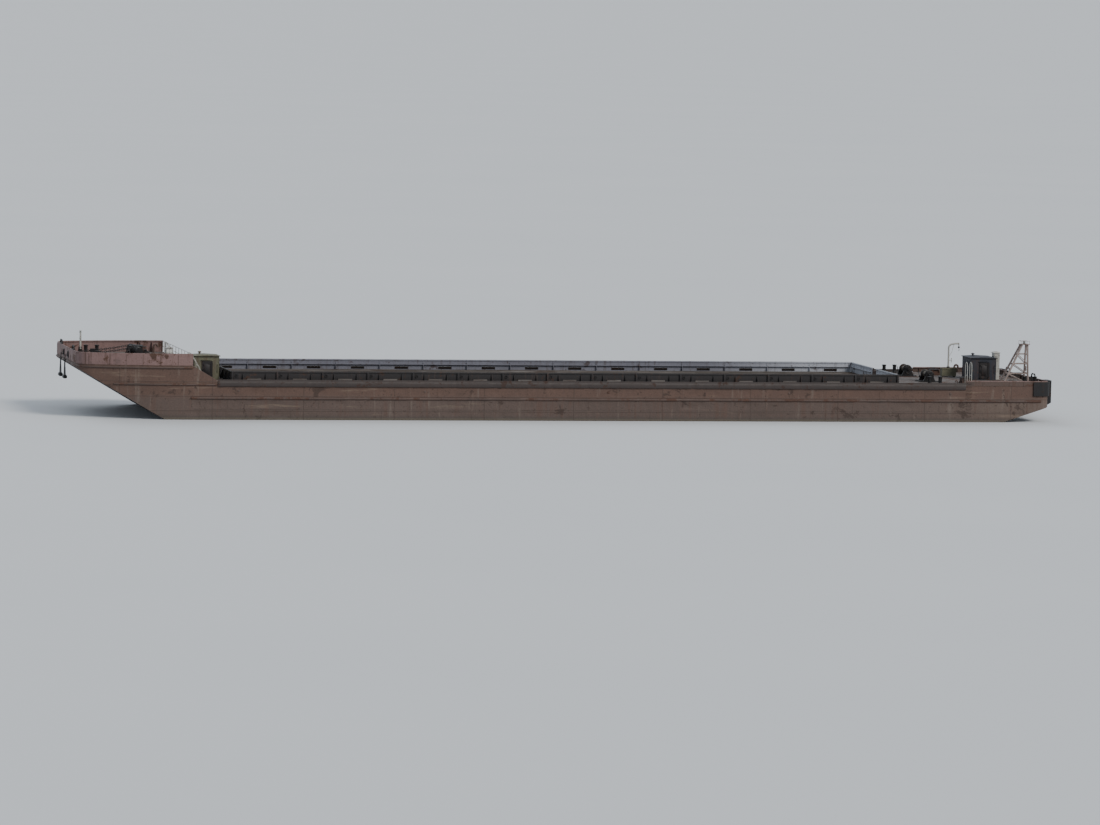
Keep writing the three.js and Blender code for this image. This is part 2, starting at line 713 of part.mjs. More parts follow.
// Steel booths over the ways down, open inside, with a hinged door on the port face and a roof.
function booths() {
  for (const { name, x, y, long, wide, tall } of BOOTHS) {
    const top = ON_DECK + tall;
    const outside = block([x, x + long], [y - wide / 2, y + wide / 2], [ON_DECK, top]);
    const inside = block(
      [x + BOOTH_WALL, x + long - BOOTH_WALL],
      [y - wide / 2 + BOOTH_WALL, y + wide / 2 - BOOTH_WALL],
      [ON_DECK - 5, top + 5],
    );
    const face = y - wide / 2;
    const middle = x + long / 2;
    const doorTop = Math.min(DOORWAY.top, tall - 14);
    const doorway = block(
      [middle - DOORWAY.half, middle + DOORWAY.half],
      [face - 5, face + BOOTH_WALL + 5],
      [ON_DECK + DOORWAY.sill, ON_DECK + doorTop],
    );
    const hinge = [middle + DOORWAY.half + 10, face - 7];
    const lugs = [DOORWAY.sill - 10, doorTop + 4.5].map((z) =>
      block([hinge[0] - 5, hinge[0] + 6], [face - 11, face + 1], [ON_DECK + z, ON_DECK + z + 6]),
    );
    const roof = outline([
      [x - 10, top - 1],
      [x + long + 10, top - 1],
      [x + long + 10, top + 5],
      [middle, top + 11],
      [x - 10, top + 5],
    ]);
    const cover = prism(roof, "y", face - 10, y + wide / 2 + 10);
    const shell = outside.subtract(inside).subtract(doorway);
    const parts = [shell, cover, ...lugs];
    if (name === "stern_booth") {
      const aft = x + long;
      parts.push(block([aft - 1, aft + TRUNK.deep], [TRUNK.y0, TRUNK.y1], [ON_DECK, ON_DECK + TRUNK.tall]));
    }
    add(`${name}_shell`, joined(parts), boothGrey);
    const span = [ON_DECK + DOORWAY.sill - 3.5, ON_DECK + doorTop + 4];
    const leaf = block([middle - DOORWAY.half - 5, middle + DOORWAY.half + 4], [face - 5, face - 1], span);
    const strap = block([middle + DOORWAY.half, hinge[0]], [face - 9, face - 5], span);
    const barrel = rod([...hinge, span[0]], [...hinge, span[1]], 3.5, 12);
    const grip = rod(
      [middle - DOORWAY.half + 4, face - 12, ON_DECK + 75],
      [middle - DOORWAY.half + 4, face - 4, ON_DECK + 75],
      3,
    );
    add(`${name}_door`, joined([leaf, strap, barrel, grip]), wallSteel);
  }
}

// The bow mast stands between two cheeks and folds aft about a pin near their tops.
function bowMast() {
  const { x, y, pivot, yard: yardZ, top, heel, r } = BOW_MAST;
  const base = block([x - 32, x + 32], [y - 30, y + 30], [ON_FORECASTLE, ON_FORECASTLE + 4]);
  const cheeks = SIDES.map(([, s]) =>
    prism(
      outline([
        [x - 22, ON_FORECASTLE + 3],
        [x + 22, ON_FORECASTLE + 3],
        [x + 12, ON_FORECASTLE + pivot + 12],
        [x - 12, ON_FORECASTLE + pivot + 12],
      ]),
      "y",
      y + s * 15 - 3,
      y + s * 15 + 3,
    ),
  );
  const bore = rod([x, y - 30, ON_FORECASTLE + pivot], [x, y + 30, ON_FORECASTLE + pivot], 4.5, 16);
  add("bow_mast_foot", joined([base, ...cheeks]).subtract(bore), gearBlack);
  const pole = rod([x, y, ON_FORECASTLE + pivot - heel], [x, y, ON_FORECASTLE + top], r, 12);
  const pin = rod([x, y - 24, ON_FORECASTLE + pivot], [x, y + 24, ON_FORECASTLE + pivot], 3.6, 12);
  const yard = rod([x, y - 42, ON_FORECASTLE + yardZ], [x, y + 42, ON_FORECASTLE + yardZ], 3);
  const lamp = [
    [0, 0],
    [9, 0],
    [9, 4],
    [7, 5],
    [7, 17],
    [10, 18],
    [0, 24],
  ];
  const lantern = turned(lamp, "z", [x, y, ON_FORECASTLE + top - 1], 12);
  add("bow_mast", joined([pole, pin, yard, lantern]), mastGrey);
}

// A short pedestal near the windlass, with a step and a box lantern on its head.
function lampPost() {
  const { x, y, top, r } = LAMP_POST;
  const foot = block([x - 20, x + 20], [y - 20, y + 20], [ON_FORECASTLE, ON_FORECASTLE + 5]);
  const post = rod([x, y, ON_FORECASTLE + 4], [x, y, ON_FORECASTLE + top], r, 12);
  const step = block([x - 34, x + 34], [y - 26, y + 26], [ON_FORECASTLE + top - 4, ON_FORECASTLE + top]);
  const box = block([x - 26, x + 26], [y - 18, y + 18], [ON_FORECASTLE + top - 1, ON_FORECASTLE + top + 68]);
  const hood = prism(
    outline([
      [x - 32, ON_FORECASTLE + top + 66],
      [x + 32, ON_FORECASTLE + top + 66],
      [x, ON_FORECASTLE + top + 84],
    ]),
    "y",
    y - 24,
    y + 24,
  );
  const knees = [-1, 1].map((end) => {
    const points = [
      [x + end * (r - 1), ON_FORECASTLE + top - 32],
      [x + end * 28, ON_FORECASTLE + top - 3],
      [x + end * (r - 1), ON_FORECASTLE + top - 3],
    ];
    return prism(outline(end > 0 ? points : points.reverse()), "y", y - 1.5, y + 1.5);
  });
  add("bow_lamp_post", joined([foot, post, step, box, hood, ...knees]), mastGrey);
}

// The stern mast is a small braced tower: upright legs aft, sloping legs with rungs forward.
function sternMast() {
  const { x, y, half, side, top, r } = STERN_MAST;
  const head = 24;
  const foot = ON_DECK + 5;
  const peak = ON_DECK + top;
  const legs = [];
  // A point on a leg at a height, with end -1 on the sloping fore legs and 1 on the aft legs.
  const legAt = (end, s, z) => {
    const share = (z - foot) / (peak - foot);
    const foreX = x - half + share * (2 * half - 2 * head);
    return [end > 0 ? x + half : foreX, y + s * (side + share * (head - side)), z];
  };
  for (const end of [-1, 1]) {
    for (const [, s] of SIDES) {
      legs.push(rod(legAt(end, s, foot), legAt(end, s, peak), r));
      const [px, py] = legAt(end, s, foot);
      legs.push(block([px - 14, px + 14], [py - 14, py + 14], [ON_DECK, ON_DECK + 5]));
    }
  }
  for (const z of [85, 170, 255]) {
    for (const [, s] of SIDES) legs.push(rod(legAt(-1, s, foot + z), legAt(1, s, foot + z), 4));
    legs.push(rod(legAt(1, -1, foot + z), legAt(1, 1, foot + z), 4));
  }
  for (let z = 42.5; z < top - 40; z += 42.5) {
    legs.push(rod(legAt(-1, -1, foot + z), legAt(-1, 1, foot + z), 3, 6));
  }
  for (const [, s] of SIDES) {
    legs.push(rod(legAt(-1, s, foot + 85), legAt(1, s, foot), 4));
    legs.push(rod(legAt(-1, s, foot + 170), legAt(1, s, foot + 85), 4));
  }
  const middle = x + half - head;
  legs.push(block([middle - 40, middle + 40], [y - 40, y + 40], [peak - 4, peak + 2]));
  const lamp = [
    [0, 0],
    [13, 0],
    [13, 4],
    [9, 6],
    [9, 24],
    [14, 26],
    [0, 33],
  ];
  const lantern = turned(lamp, "z", [middle, y, peak + 1], 12);
  add("stern_mast", joined([...legs, lantern]), mastGrey);
}

// A small swinging davit stands in a socket on the port side.
function davit() {
  const { x, y, top, reach, r } = DAVIT;
  const socket = turned(
    [
      [0, 0],
      [20, 0],
      [20, 4],
      [14, 6],
      [14, 50],
      [0, 50],
    ],
    "z",
    [x, y, ON_DECK],
    12,
  ).subtract(rod([x, y, ON_DECK + 10], [x, y, ON_DECK + 60], r + 1.2, 16));
  add("davit_socket", socket, gearBlack);
  const post = rod([x, y, ON_DECK + 10.5], [x, y, ON_DECK + top - 40], r, 12);
  const bend = new THREE.CubicBezierCurve3(
    new THREE.Vector3(x, y, ON_DECK + top - 42),
    new THREE.Vector3(x, y, ON_DECK + top - 5),
    new THREE.Vector3(x + 35, y, ON_DECK + top),
    new THREE.Vector3(x + reach, y, ON_DECK + top),
  );
  const ring = new THREE.Shape().absarc(0, 0, r, 0, 2 * Math.PI);
  const arm = solid(new THREE.ExtrudeGeometry(ring, { extrudePath: bend, steps: 8, curveSegments: 5 }));
  const tip = block([x + reach - 5, x + reach + 5], [y - 4, y + 4], [ON_DECK + top - 18, ON_DECK + top + 5]);
  add("davit", joined([post, arm, tip]), mastGrey);
}

// Gooseneck vents: a pipe that rises, bends over and opens downwards.
function vents() {
  for (const [name, x, y, deck] of VENTS) {
    const bend = new THREE.CubicBezierCurve3(
      new THREE.Vector3(x, y, deck + 58),
      new THREE.Vector3(x, y, deck + 92),
      new THREE.Vector3(x + 34, y, deck + 92),
      new THREE.Vector3(x + 34, y, deck + 52),
    );
    const ring = new THREE.Shape().absarc(0, 0, 9, 0, 2 * Math.PI);
    const neck = solid(new THREE.ExtrudeGeometry(ring, { extrudePath: bend, steps: 8, curveSegments: 5 }));
    const pipe = rod([x, y, deck], [x, y, deck + 60], 9, 12);
    const flange = rod([x, y, deck], [x, y, deck + 4], 17, 12);
    add(name, joined([flange, pipe, neck]), edgeRust);
  }
}

function sternGear() {
  const ring = prism(planOutline(-BAND.proud), "z", BAND.foot, BAND.top).subtract(
    prism(planOutline(-GAP), "z", BAND.foot - 5, BAND.top + 5),
  );
  for (const [side, s] of SIDES) {
    const y = s * STOP.y;
    const points = [
      [STERN + GAP, STOP.foot],
      [STERN + PROUD, STOP.foot + 25],
      [STERN + PROUD, STOP.top],
      [STERN + GAP, STOP.top],
    ];
    const knee = prism(outline(points), "y", y - STOP.half, y + STOP.half);
    const corner = s > 0 ? [y, 900] : [-900, y];
    const band = ring.intersect(block([STERN - BAND.reach, STERN + 40], corner, [0, DEPTH + 200]));
    add(`push_stop_${side}`, knee.add(band), gearBlack);
    const under = (x) => ((x - (STERN - STERN_RAKE)) * TRANSOM_FOOT) / STERN_RAKE - 1.5;
    const skeg = [
      [STERN - SKEG.fore, SKEG.foot],
      [STERN - SKEG.aft, SKEG.foot],
      [STERN - SKEG.aft, under(STERN - SKEG.aft)],
      [STERN - 420, under(STERN - 420)],
      [STERN - SKEG.fore, under(STERN - SKEG.fore) - 2],
    ];
    const at = s * SKEG.y;
    add(`skeg_${side}`, prism(outline(skeg), "y", at - SKEG.plate, at + SKEG.plate), hullRust);
  }
}

hull();
strakes();
cargoSpace();
bulwarks();
bollards();
hatches();
windlass();
winches();
anchors();
booths();
bowMast();
lampPost();
sternMast();
davit();
vents();
sternGear();

export default barge;
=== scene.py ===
"""Looks of a steel river deck barge, a 1:10 scale model, afloat in a pale studio floor.

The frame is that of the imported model: bow towards -X, port towards -Y, +Z up. Form takes
millimetres, as the solids do, and turns them into metres. 100 mm is one metre of the real barge.
"""

import json
import math
import random

import bmesh
import bpy
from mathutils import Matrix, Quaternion, Vector


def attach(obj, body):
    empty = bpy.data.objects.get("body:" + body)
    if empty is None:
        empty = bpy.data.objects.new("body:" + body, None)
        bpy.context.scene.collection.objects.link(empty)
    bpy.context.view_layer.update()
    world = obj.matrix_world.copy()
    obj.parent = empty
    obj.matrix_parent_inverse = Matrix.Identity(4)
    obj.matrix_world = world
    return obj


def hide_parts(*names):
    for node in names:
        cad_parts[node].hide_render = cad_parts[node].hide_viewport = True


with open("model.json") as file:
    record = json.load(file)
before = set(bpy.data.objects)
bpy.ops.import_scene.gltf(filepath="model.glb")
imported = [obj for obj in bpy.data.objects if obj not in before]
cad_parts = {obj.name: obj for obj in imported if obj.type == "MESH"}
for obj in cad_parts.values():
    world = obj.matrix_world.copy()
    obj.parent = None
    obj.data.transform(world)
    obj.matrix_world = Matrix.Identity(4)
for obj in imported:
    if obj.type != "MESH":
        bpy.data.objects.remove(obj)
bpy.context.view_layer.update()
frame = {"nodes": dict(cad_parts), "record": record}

# Sizes shared with the solids, in millimetres
BOW, STERN = -4250, 4250
HALF_BEAM = 815
DECK = 360.3
FORECASTLE = 500.3
FORECASTLE_AFT = -3290
STRAKE_PROUD = 11.6
FRAME_SPACING = 60
CARGO_ENDS, CARGO_SIDE = (-2950, 2900), 740
BAYS, BAY = 15, 390
CHAIN_Y = 130
# Welded plates, and the boards of the cargo deck with the shift from row to row as a share of a board
PLATE = 780
BOARDS_FORE, BOARDS_AFT, BOARDS_PORT, BOARD_TOP = -2938, 2888, -727, 365
BOARD_ROWS, BOARD_LENGTH, BOARD_SHIFT = 22, 520, 0.37
BOARD_WIDTH = -2 * BOARDS_PORT / BOARD_ROWS
SIDES = (("port", -1), ("starboard", 1))
AFT, ACROSS, UP = (1, 0, 0), (0, 1, 0), (0, 0, 1)
# In metres
WATERLINE = 0.045
FLOOR_HALF = 3000
rng = random.Random(7)


# Materials. Their coordinates are in metres, their colours in screen values from 0 to 255.
def rgb(*colour):
    """A colour as linear RGBA."""
    parts = [v / 255 for v in colour]
    return (*(v / 12.92 if v <= 0.04045 else ((v + 0.055) / 1.055) ** 2.4 for v in parts), 1.0)


class Shader:
    """A short way to build one node material. paint() lays one colour after another over `colour`."""

    def __init__(self, name):
        self.material = bpy.data.materials.new(name)
        self.material.use_nodes = True
        self.tree = self.material.node_tree
        self.tree.nodes.clear()
        self.surface = self.tree.nodes.new("ShaderNodeBsdfPrincipled")
        out = self.tree.nodes.new("ShaderNodeOutputMaterial")
        self.tree.links.new(self.surface.outputs[0], out.inputs["Surface"])
        self.place = self.node("TexCoord", {}, "Object")

    def fill(self, node, values):
        """Links a socket to each input, or sets its value. None leaves an input as it is."""
        for key, value in values.items():
            if isinstance(value, bpy.types.NodeSocket):
                self.tree.links.new(value, node.inputs[key])
            elif value is not None:
                node.inputs[key].default_value = value

    def node(self, kind, values, out=0, **settings):
        node = self.tree.nodes.new("ShaderNode" + kind)
        for key, value in settings.items():
            setattr(node, key, value)
        self.fill(node, values if isinstance(values, dict) else dict(enumerate(values)))
        return node.outputs[out]

    def math(self, operation, *values):
        return self.node("Math", values, operation=operation)

    def times(self, a, b):
        return self.math("MULTIPLY", a, b)

    def most(self, a, b):
        return self.math("MAXIMUM", a, b)

    def split(self, vector):
        return [self.node("SeparateXYZ", (vector,), axis) for axis in "XYZ"]

    def noise(self, scale, detail=5, rough=0.6, stretch=None, distortion=0):
        place = self.node("Mapping", {"Vector": self.place, "Scale": stretch}) if stretch else self.place
        return self.node("TexNoise", {"Vector": place, "Scale": scale, "Detail": detail, "Roughness": rough,
                                      "Distortion": distortion}, "Fac")

    def chance(self, a, b):
        """One random value, 0 to 1, for each pair of whole numbers."""
        return self.node("TexWhiteNoise", {"Vector": self.node("CombineXYZ", (a, b))}, "Value")

    def ramp(self, value, low, high, out_low=0, out_high=1):
        values = value, low, high, out_low, out_high
        return self.node("MapRange", values, interpolation_type="SMOOTHSTEP")

    def spots(self, scale, detail, rough, low, high, share=1, stretch=None, distortion=0):
        """A mask of noise that is 0 below low and share above high."""
        return self.ramp(self.noise(scale, detail, rough, stretch, distortion), low, high, 0, share)

    def mix(self, share, a, b, kind="MIX"):
        a, b = (rgb(*colour) if isinstance(colour, tuple) else colour for colour in (a, b))
        values = {"Factor": share, "A": a, "B": b}
        return self.node("Mix", values, "Result", data_type="RGBA", blend_type=kind)

    def mottled(self, scale, detail, rough, a, b):
        return self.mix(self.noise(scale, detail, rough), a, b)

    def paint(self, mask, colour):
        self.colour = self.mix(mask, self.colour, colour)

    def grained(self, scale, detail, rough, share=0.35, dark=0.5):
        """Darkens the colour in the hollows of a fine grain, and gives the grain."""
        grain = self.noise(scale, detail, rough)
        self.colour = self.mix(share, self.colour, self.ramp(grain, 0.3, 0.7, dark, 1), "MULTIPLY")
        return grain

    def lines(self, value, spacing, width):
        """1 on lines that repeat along a coordinate, 0 between them."""
        phase = self.math("FRACT", self.math("DIVIDE", value, spacing))
        off = self.math("ABSOLUTE", self.math("SUBTRACT", phase, 0.5))
        return self.ramp(off, 0.5 - 1.5 * width / spacing, 0.5 - 0.5 * width / spacing)

    def sum(self, value, share, more):
        """value times share, plus more."""
        return self.math("MULTIPLY_ADD", value, share, more)

    def bump(self, height, distance, strength, before=None):
        return self.node("Bump", {"Strength": strength, "Distance": distance, "Height": height,
                                  "Normal": before})

    def finish(self, rough, normal=None, metal=0, gloss=0.5):
        self.fill(self.surface, {"Specular IOR Level": gloss, "Base Color": self.colour, "Roughness": rough,
                                 "Metallic": metal, "Normal": normal})
        return self.material


RUST = ((94, 67, 54), (64, 47, 41))
BLACK_RUST = ((70, 50, 41), (46, 36, 33))
GRIME = (52, 46, 43)


def weathered(name, paint, second, rust_share=0.4, streaks=0.5, rust=RUST, rough=0.75, metal=0):
    """Painted steel with patches of rust, streaks that run down, grime and pitting."""
    s = Shader(name)
    cut = 0.72 - 0.4 * rust_share
    patch = s.spots(6, 10, 0.7, cut - 0.02, cut + 0.03, distortion=0.3)
    chips = s.spots(34, 8, 0.72, 0.6, 0.64, 0.85)
    mask = s.most(s.most(patch, chips), s.spots(9, 6, 0.6, 0.5, 0.68, streaks, (3.2, 3.2, 0.35)))
    s.colour = s.mottled(2.2, 4, 0.5, paint, second)
    s.paint(mask, s.mottled(22, 8, 0.7, *rust))
    s.paint(s.spots(4, 10, 0.72, 0.52, 0.75, 0.65, (1, 1, 1.7)), GRIME)
    grain = s.grained(90, 3, 0.6, dark=0.45)
    pitting = s.bump(s.sum(grain, 0.6, s.noise(30, 8, 0.7)), 0.0006, 0.8)
    return s.finish(s.ramp(mask, 0, 1, rough - 0.12, 0.92), pitting, metal)


def hull_material():
    """Side plating: rust along the top, grey-brown below, silt at the waterline, seams, dents and painted
    shade on faces that turn down.
    """
    s = Shader("hull_plating")
    x, _, z = s.split(s.place)
    wander = s.sum(s.noise(3, 6, 0.6), 0.09, z)
    s.colour = s.mottled(0.8, 5, 0.6, (92, 77, 70), (72, 58, 52))
    s.paint(s.ramp(x, 2.6, 4.1, 0, 0.5), (106, 90, 80))
    s.paint(s.ramp(wander, 0.245, 0.315), s.mottled(7, 9, 0.7, (98, 74, 62), (74, 55, 47)))
    s.paint(s.spots(11, 7, 0.62, 0.5, 0.66, 0.75, (2.6, 2.6, 0.28)), (84, 63, 54))
    s.paint(s.spots(8, 6, 0.6, 0.58, 0.72, 0.45, (2, 2, 0.22)), (118, 107, 98))
    s.paint(s.spots(6, 7, 0.65, 0.6, 0.72, 0.5, (0.22, 1, 2.4)), (126, 110, 94))
    blotch = s.most(s.spots(5, 11, 0.74, 0.575, 0.615, 0.7, distortion=0.5),
                    s.spots(30, 8, 0.74, 0.6, 0.635, 0.6))
    s.paint(blotch, (60, 49, 44))
    low = s.ramp(s.sum(s.noise(12, 6, 0.7), 0.03, z), 0.115, 0.075)
    s.paint(s.times(low, 0.6), (60, 54, 50))
    silt = s.times(s.ramp(z, WATERLINE, WATERLINE + 0.005), s.ramp(z, 0.068, 0.058))
    s.paint(s.times(silt, 0.35), (104, 98, 82))
    # Painted shade: faces that turn downward, such as the undersides of the rakes, are darkened nearly to
    # black.
    normal_z_for_shade = s.split(s.node("NewGeometry", {}, "Normal"))[2]
    s.paint(s.ramp(normal_z_for_shade, -0.2, -0.7, 0, 0.75), (34, 31, 31))
    grain = s.grained(80, 4, 0.65, 0.4)
    seams = s.most(s.lines(x, PLATE * 0.001, 0.0035), s.lines(z, 0.122, 0.003))
    s.paint(s.times(seams, 0.5), (58, 45, 39))
    scale = s.bump(s.sum(grain, 0.5, s.noise(26, 8, 0.7)), 0.0012, 0.7)
    return s.finish(s.ramp(blotch, 0, 0.75, 0.68, 0.9), s.bump(seams, 0.0012, 0.8, scale))


def deck_material():
    """Walked-on plating with seams, scuffs, standing stains and rust."""
    s = Shader("deck_steel")
    x, y, _ = s.split(s.place)
    worn = (108, 103, 100)
    s.colour = s.mottled(1.6, 7, 0.6, (86, 80, 78), worn)
    patch = s.most(s.spots(4.5, 11, 0.74, 0.515, 0.56, distortion=0.6), s.spots(26, 9, 0.74, 0.57, 0.61))
    s.paint(patch, s.mottled(30, 6, 0.7, (92, 68, 57), (68, 52, 46)))
    s.paint(s.spots(10, 6, 0.65, 0.56, 0.7, 0.5, (0.25, 3, 1)), worn)
    s.paint(s.spots(2.6, 8, 0.7, 0.54, 0.66, 0.6), GRIME)
    grain = s.grained(100, 3, 0.6)
    seams = s.most(s.lines(x, PLATE * 0.001, 0.0035), s.lines(y, 0.24, 0.003))
    s.paint(s.times(seams, 0.6), (56, 46, 41))
    dents = s.bump(s.noise(5, 3, 0.5), 0.006, 0.6)
    relief = s.bump(s.sum(seams, 1.5, grain), 0.0007, 0.7, dents)
    return s.finish(s.ramp(patch, 0, 1, 0.7, 0.9), relief, gloss=0.3)


def planking_material():
    """Grey weathered boards. Each has its own tone, along the joints that planks() leaves."""
    s = Shader("planking")
    x, y, _ = s.split(s.place)
    width, length = BOARD_WIDTH * 0.001, BOARD_LENGTH * 0.001
    row = s.math("FLOOR", s.math("DIVIDE", s.math("SUBTRACT", y, BOARDS_PORT * 0.001), width))
    shift = s.times(s.math("FRACT", s.times(row, BOARD_SHIFT)), length)
    along = s.math("ADD", s.math("SUBTRACT", x, BOARDS_FORE * 0.001), shift)
    tone = s.chance(row, s.math("FLOOR", s.math("DIVIDE", along, length)))
    s.colour = s.mix(tone, (66, 61, 58), (104, 99, 95))
    grain = s.noise(60, 6, 0.65, (0.07, 1.6, 1))
    s.paint(s.ramp(grain, 0.45, 0.62, 0, 0.55), GRIME)
    silver = s.spots(3, 8, 0.7, 0.5, 0.68, 0.5)
    s.paint(silver, (116, 112, 110))
    stain = s.spots(2.1, 10, 0.74, 0.54, 0.64, 0.7, distortion=0.4)
    s.paint(stain, s.mottled(24, 5, 0.6, (72, 54, 46), (46, 41, 39)))
    s.paint(s.spots(14, 5, 0.6, 0.62, 0.72, 0.5, (0.18, 2.2, 1)), (128, 120, 112))
    relief = s.bump(s.sum(grain, 1.4, s.noise(120, 3, 0.6)), 0.0007, 0.8)
    return s.finish(s.ramp(silver, 0, 0.5, 0.8, 0.93), relief, gloss=0)


def wall_material():
    """Low walls: nearly black outside, pale and greyer on the faces towards the cargo."""
    s = Shader("wall_plating")
    x, y, _ = s.split(s.place)
    fore, aft, side = (v * 0.001 for v in (*CARGO_ENDS, CARGO_SIDE))
    within = s.times(s.ramp(x, fore + 0.0015, fore + 0.0025), s.ramp(x, aft - 0.0015, aft - 0.0025))
    inside = s.times(s.ramp(s.math("ABSOLUTE", y), side - 0.0015, side - 0.0025), within)
    inner = s.mix(s.ramp(x, 1.4, 2.7, 0, 0.9), s.mottled(2.4, 6, 0.6, (124, 126, 138), (96, 96, 106)),
                  s.mottled(5, 6, 0.6, (182, 187, 196), (150, 153, 162)))
    s.colour = s.mix(inside, s.mottled(3, 5, 0.6, (38, 33, 34), (27, 25, 27)), inner)
    patch = s.most(s.spots(7, 10, 0.72, 0.585, 0.625, distortion=0.4), s.spots(34, 8, 0.72, 0.6, 0.64))
    bare = s.times(patch, s.ramp(inside, 0, 1, 1, 0.7))
    s.paint(bare, s.mottled(26, 8, 0.7, (78, 56, 46), (46, 36, 32)))
    s.paint(s.spots(12, 6, 0.6, 0.53, 0.68, 0.5, (3, 3, 0.3)), (66, 51, 46))
    grain = s.grained(90, 3, 0.6)
    pitting = s.bump(s.sum(grain, 0.6, s.noise(30, 8, 0.7)), 0.0006, 0.8)
    return s.finish(s.ramp(patch, 0, 1, 0.62, 0.9), pitting)


def glass_material():
    """Old lamp and port glass: greenish, with dust held in its ripples."""
    s = Shader("lamp_glass")
    dust = s.spots(40, 6, 0.7, 0.42, 0.7, 0.6)
    s.colour = s.mix(dust, (120, 134, 130), (168, 164, 150))
    s.fill(s.surface, {"IOR": 1.5, "Coat Weight": 0.6})
    return s.finish(s.ramp(dust, 0, 0.6, 0.06, 0.5), s.bump(s.noise(120, 2, 0.5), 0.0003, 0.4))


# Painted steel as (name, paint, second tone, share of rust, streaks, kind of rust, roughness, metal)
PAINTED = (
    ("edge_rust", (88, 69, 61), (70, 56, 50), 0.45, 0.5),
    ("dark_gunwale", (58, 47, 44), (42, 36, 35), 0.35, 0.35, BLACK_RUST),
    ("bow_paint", (132, 104, 100), (106, 84, 81), 0.4, 0.7),
    ("gear_black", (40, 39, 40), (27, 27, 29), 0.3, 0.3, BLACK_RUST, 0.6, 0.35),
    ("mast_grey", (186, 185, 178), (154, 153, 148), 0.14, 0.4, RUST, 0.6),
    ("booth_grey", (112, 110, 88), (86, 86, 72), 0.3, 0.5),
    ("booth_navy", (42, 49, 62), (34, 37, 46), 0.25, 0.4),
    ("mast_worn", (160, 146, 140), (132, 116, 110), 0.3, 0.6, RUST, 0.7),
    ("wire_rope", (112, 106, 96), (84, 78, 70), 0.3, 0.2, RUST, 0.6, 0.5),
    ("lamp_white", (226, 226, 222), (204, 203, 198), 0.05, 0.2, RUST, 0.45),
)
MATERIALS = {row[0]: weathered(*row) for row in PAINTED}
MATERIALS |= {"hull_rust": hull_material(), "deck_steel": deck_material(), "wall_steel": wall_material(),
              "planking": planking_material(), "glass": glass_material()}
SLOT_OF = {row["node"]: row["material_slot"] for row in frame["record"]["subparts"]}


def linked(name, data):
    """A new object of the scene."""
    made = bpy.data.objects.new(name, data)
    bpy.context.scene.collection.objects.link(made)
    return made


def round_edges(piece, width):
    """Takes width, in millimetres, off every sharp edge."""
    edge = piece.modifiers.new("edge", "BEVEL")
    edge.width, edge.segments, edge.limit_method = width * 0.001, 2, "ANGLE"
    edge.angle_limit = math.radians(38)


def dress_solids():
    """Gives every solid its finish and worn, rounded edges."""
    for name, node in frame["nodes"].items():
        node.data.materials.clear()
        node.data.materials.append(MATERIALS[SLOT_OF[name]])
        weld = node.modifiers.new("weld", "WELD")
        weld.merge_threshold = 0.00002
        round_edges(node, 0.8)


# Mesh building
def circle(count, start=0.0):
    """Even directions round a circle, as (cosine, sine)."""
    turns = [start + 2 * math.pi * k / count for k in range(count)]
    return [(math.cos(t), math.sin(t)) for t in turns]


def grid(xs, ys, zs):
    """Every point that takes one of each coordinate."""
    return [(x, y, z) for x in xs for y in ys for z in zs]


def basis(axis):
    """An axis of length 1 and two directions across it, so that (across, up, axis) is right-handed."""
    axis = Vector(axis).normalized()
    across = axis.orthogonal().normalized()
    return across, axis.cross(across).normalized(), axis


def around(centre, axis, radius, count, start=0.0):
    """Points on a circle about an axis."""
    across, up, _ = basis(axis)
    return [Vector(centre) + (across * c + up * s) * radius for c, s in circle(count, start)]


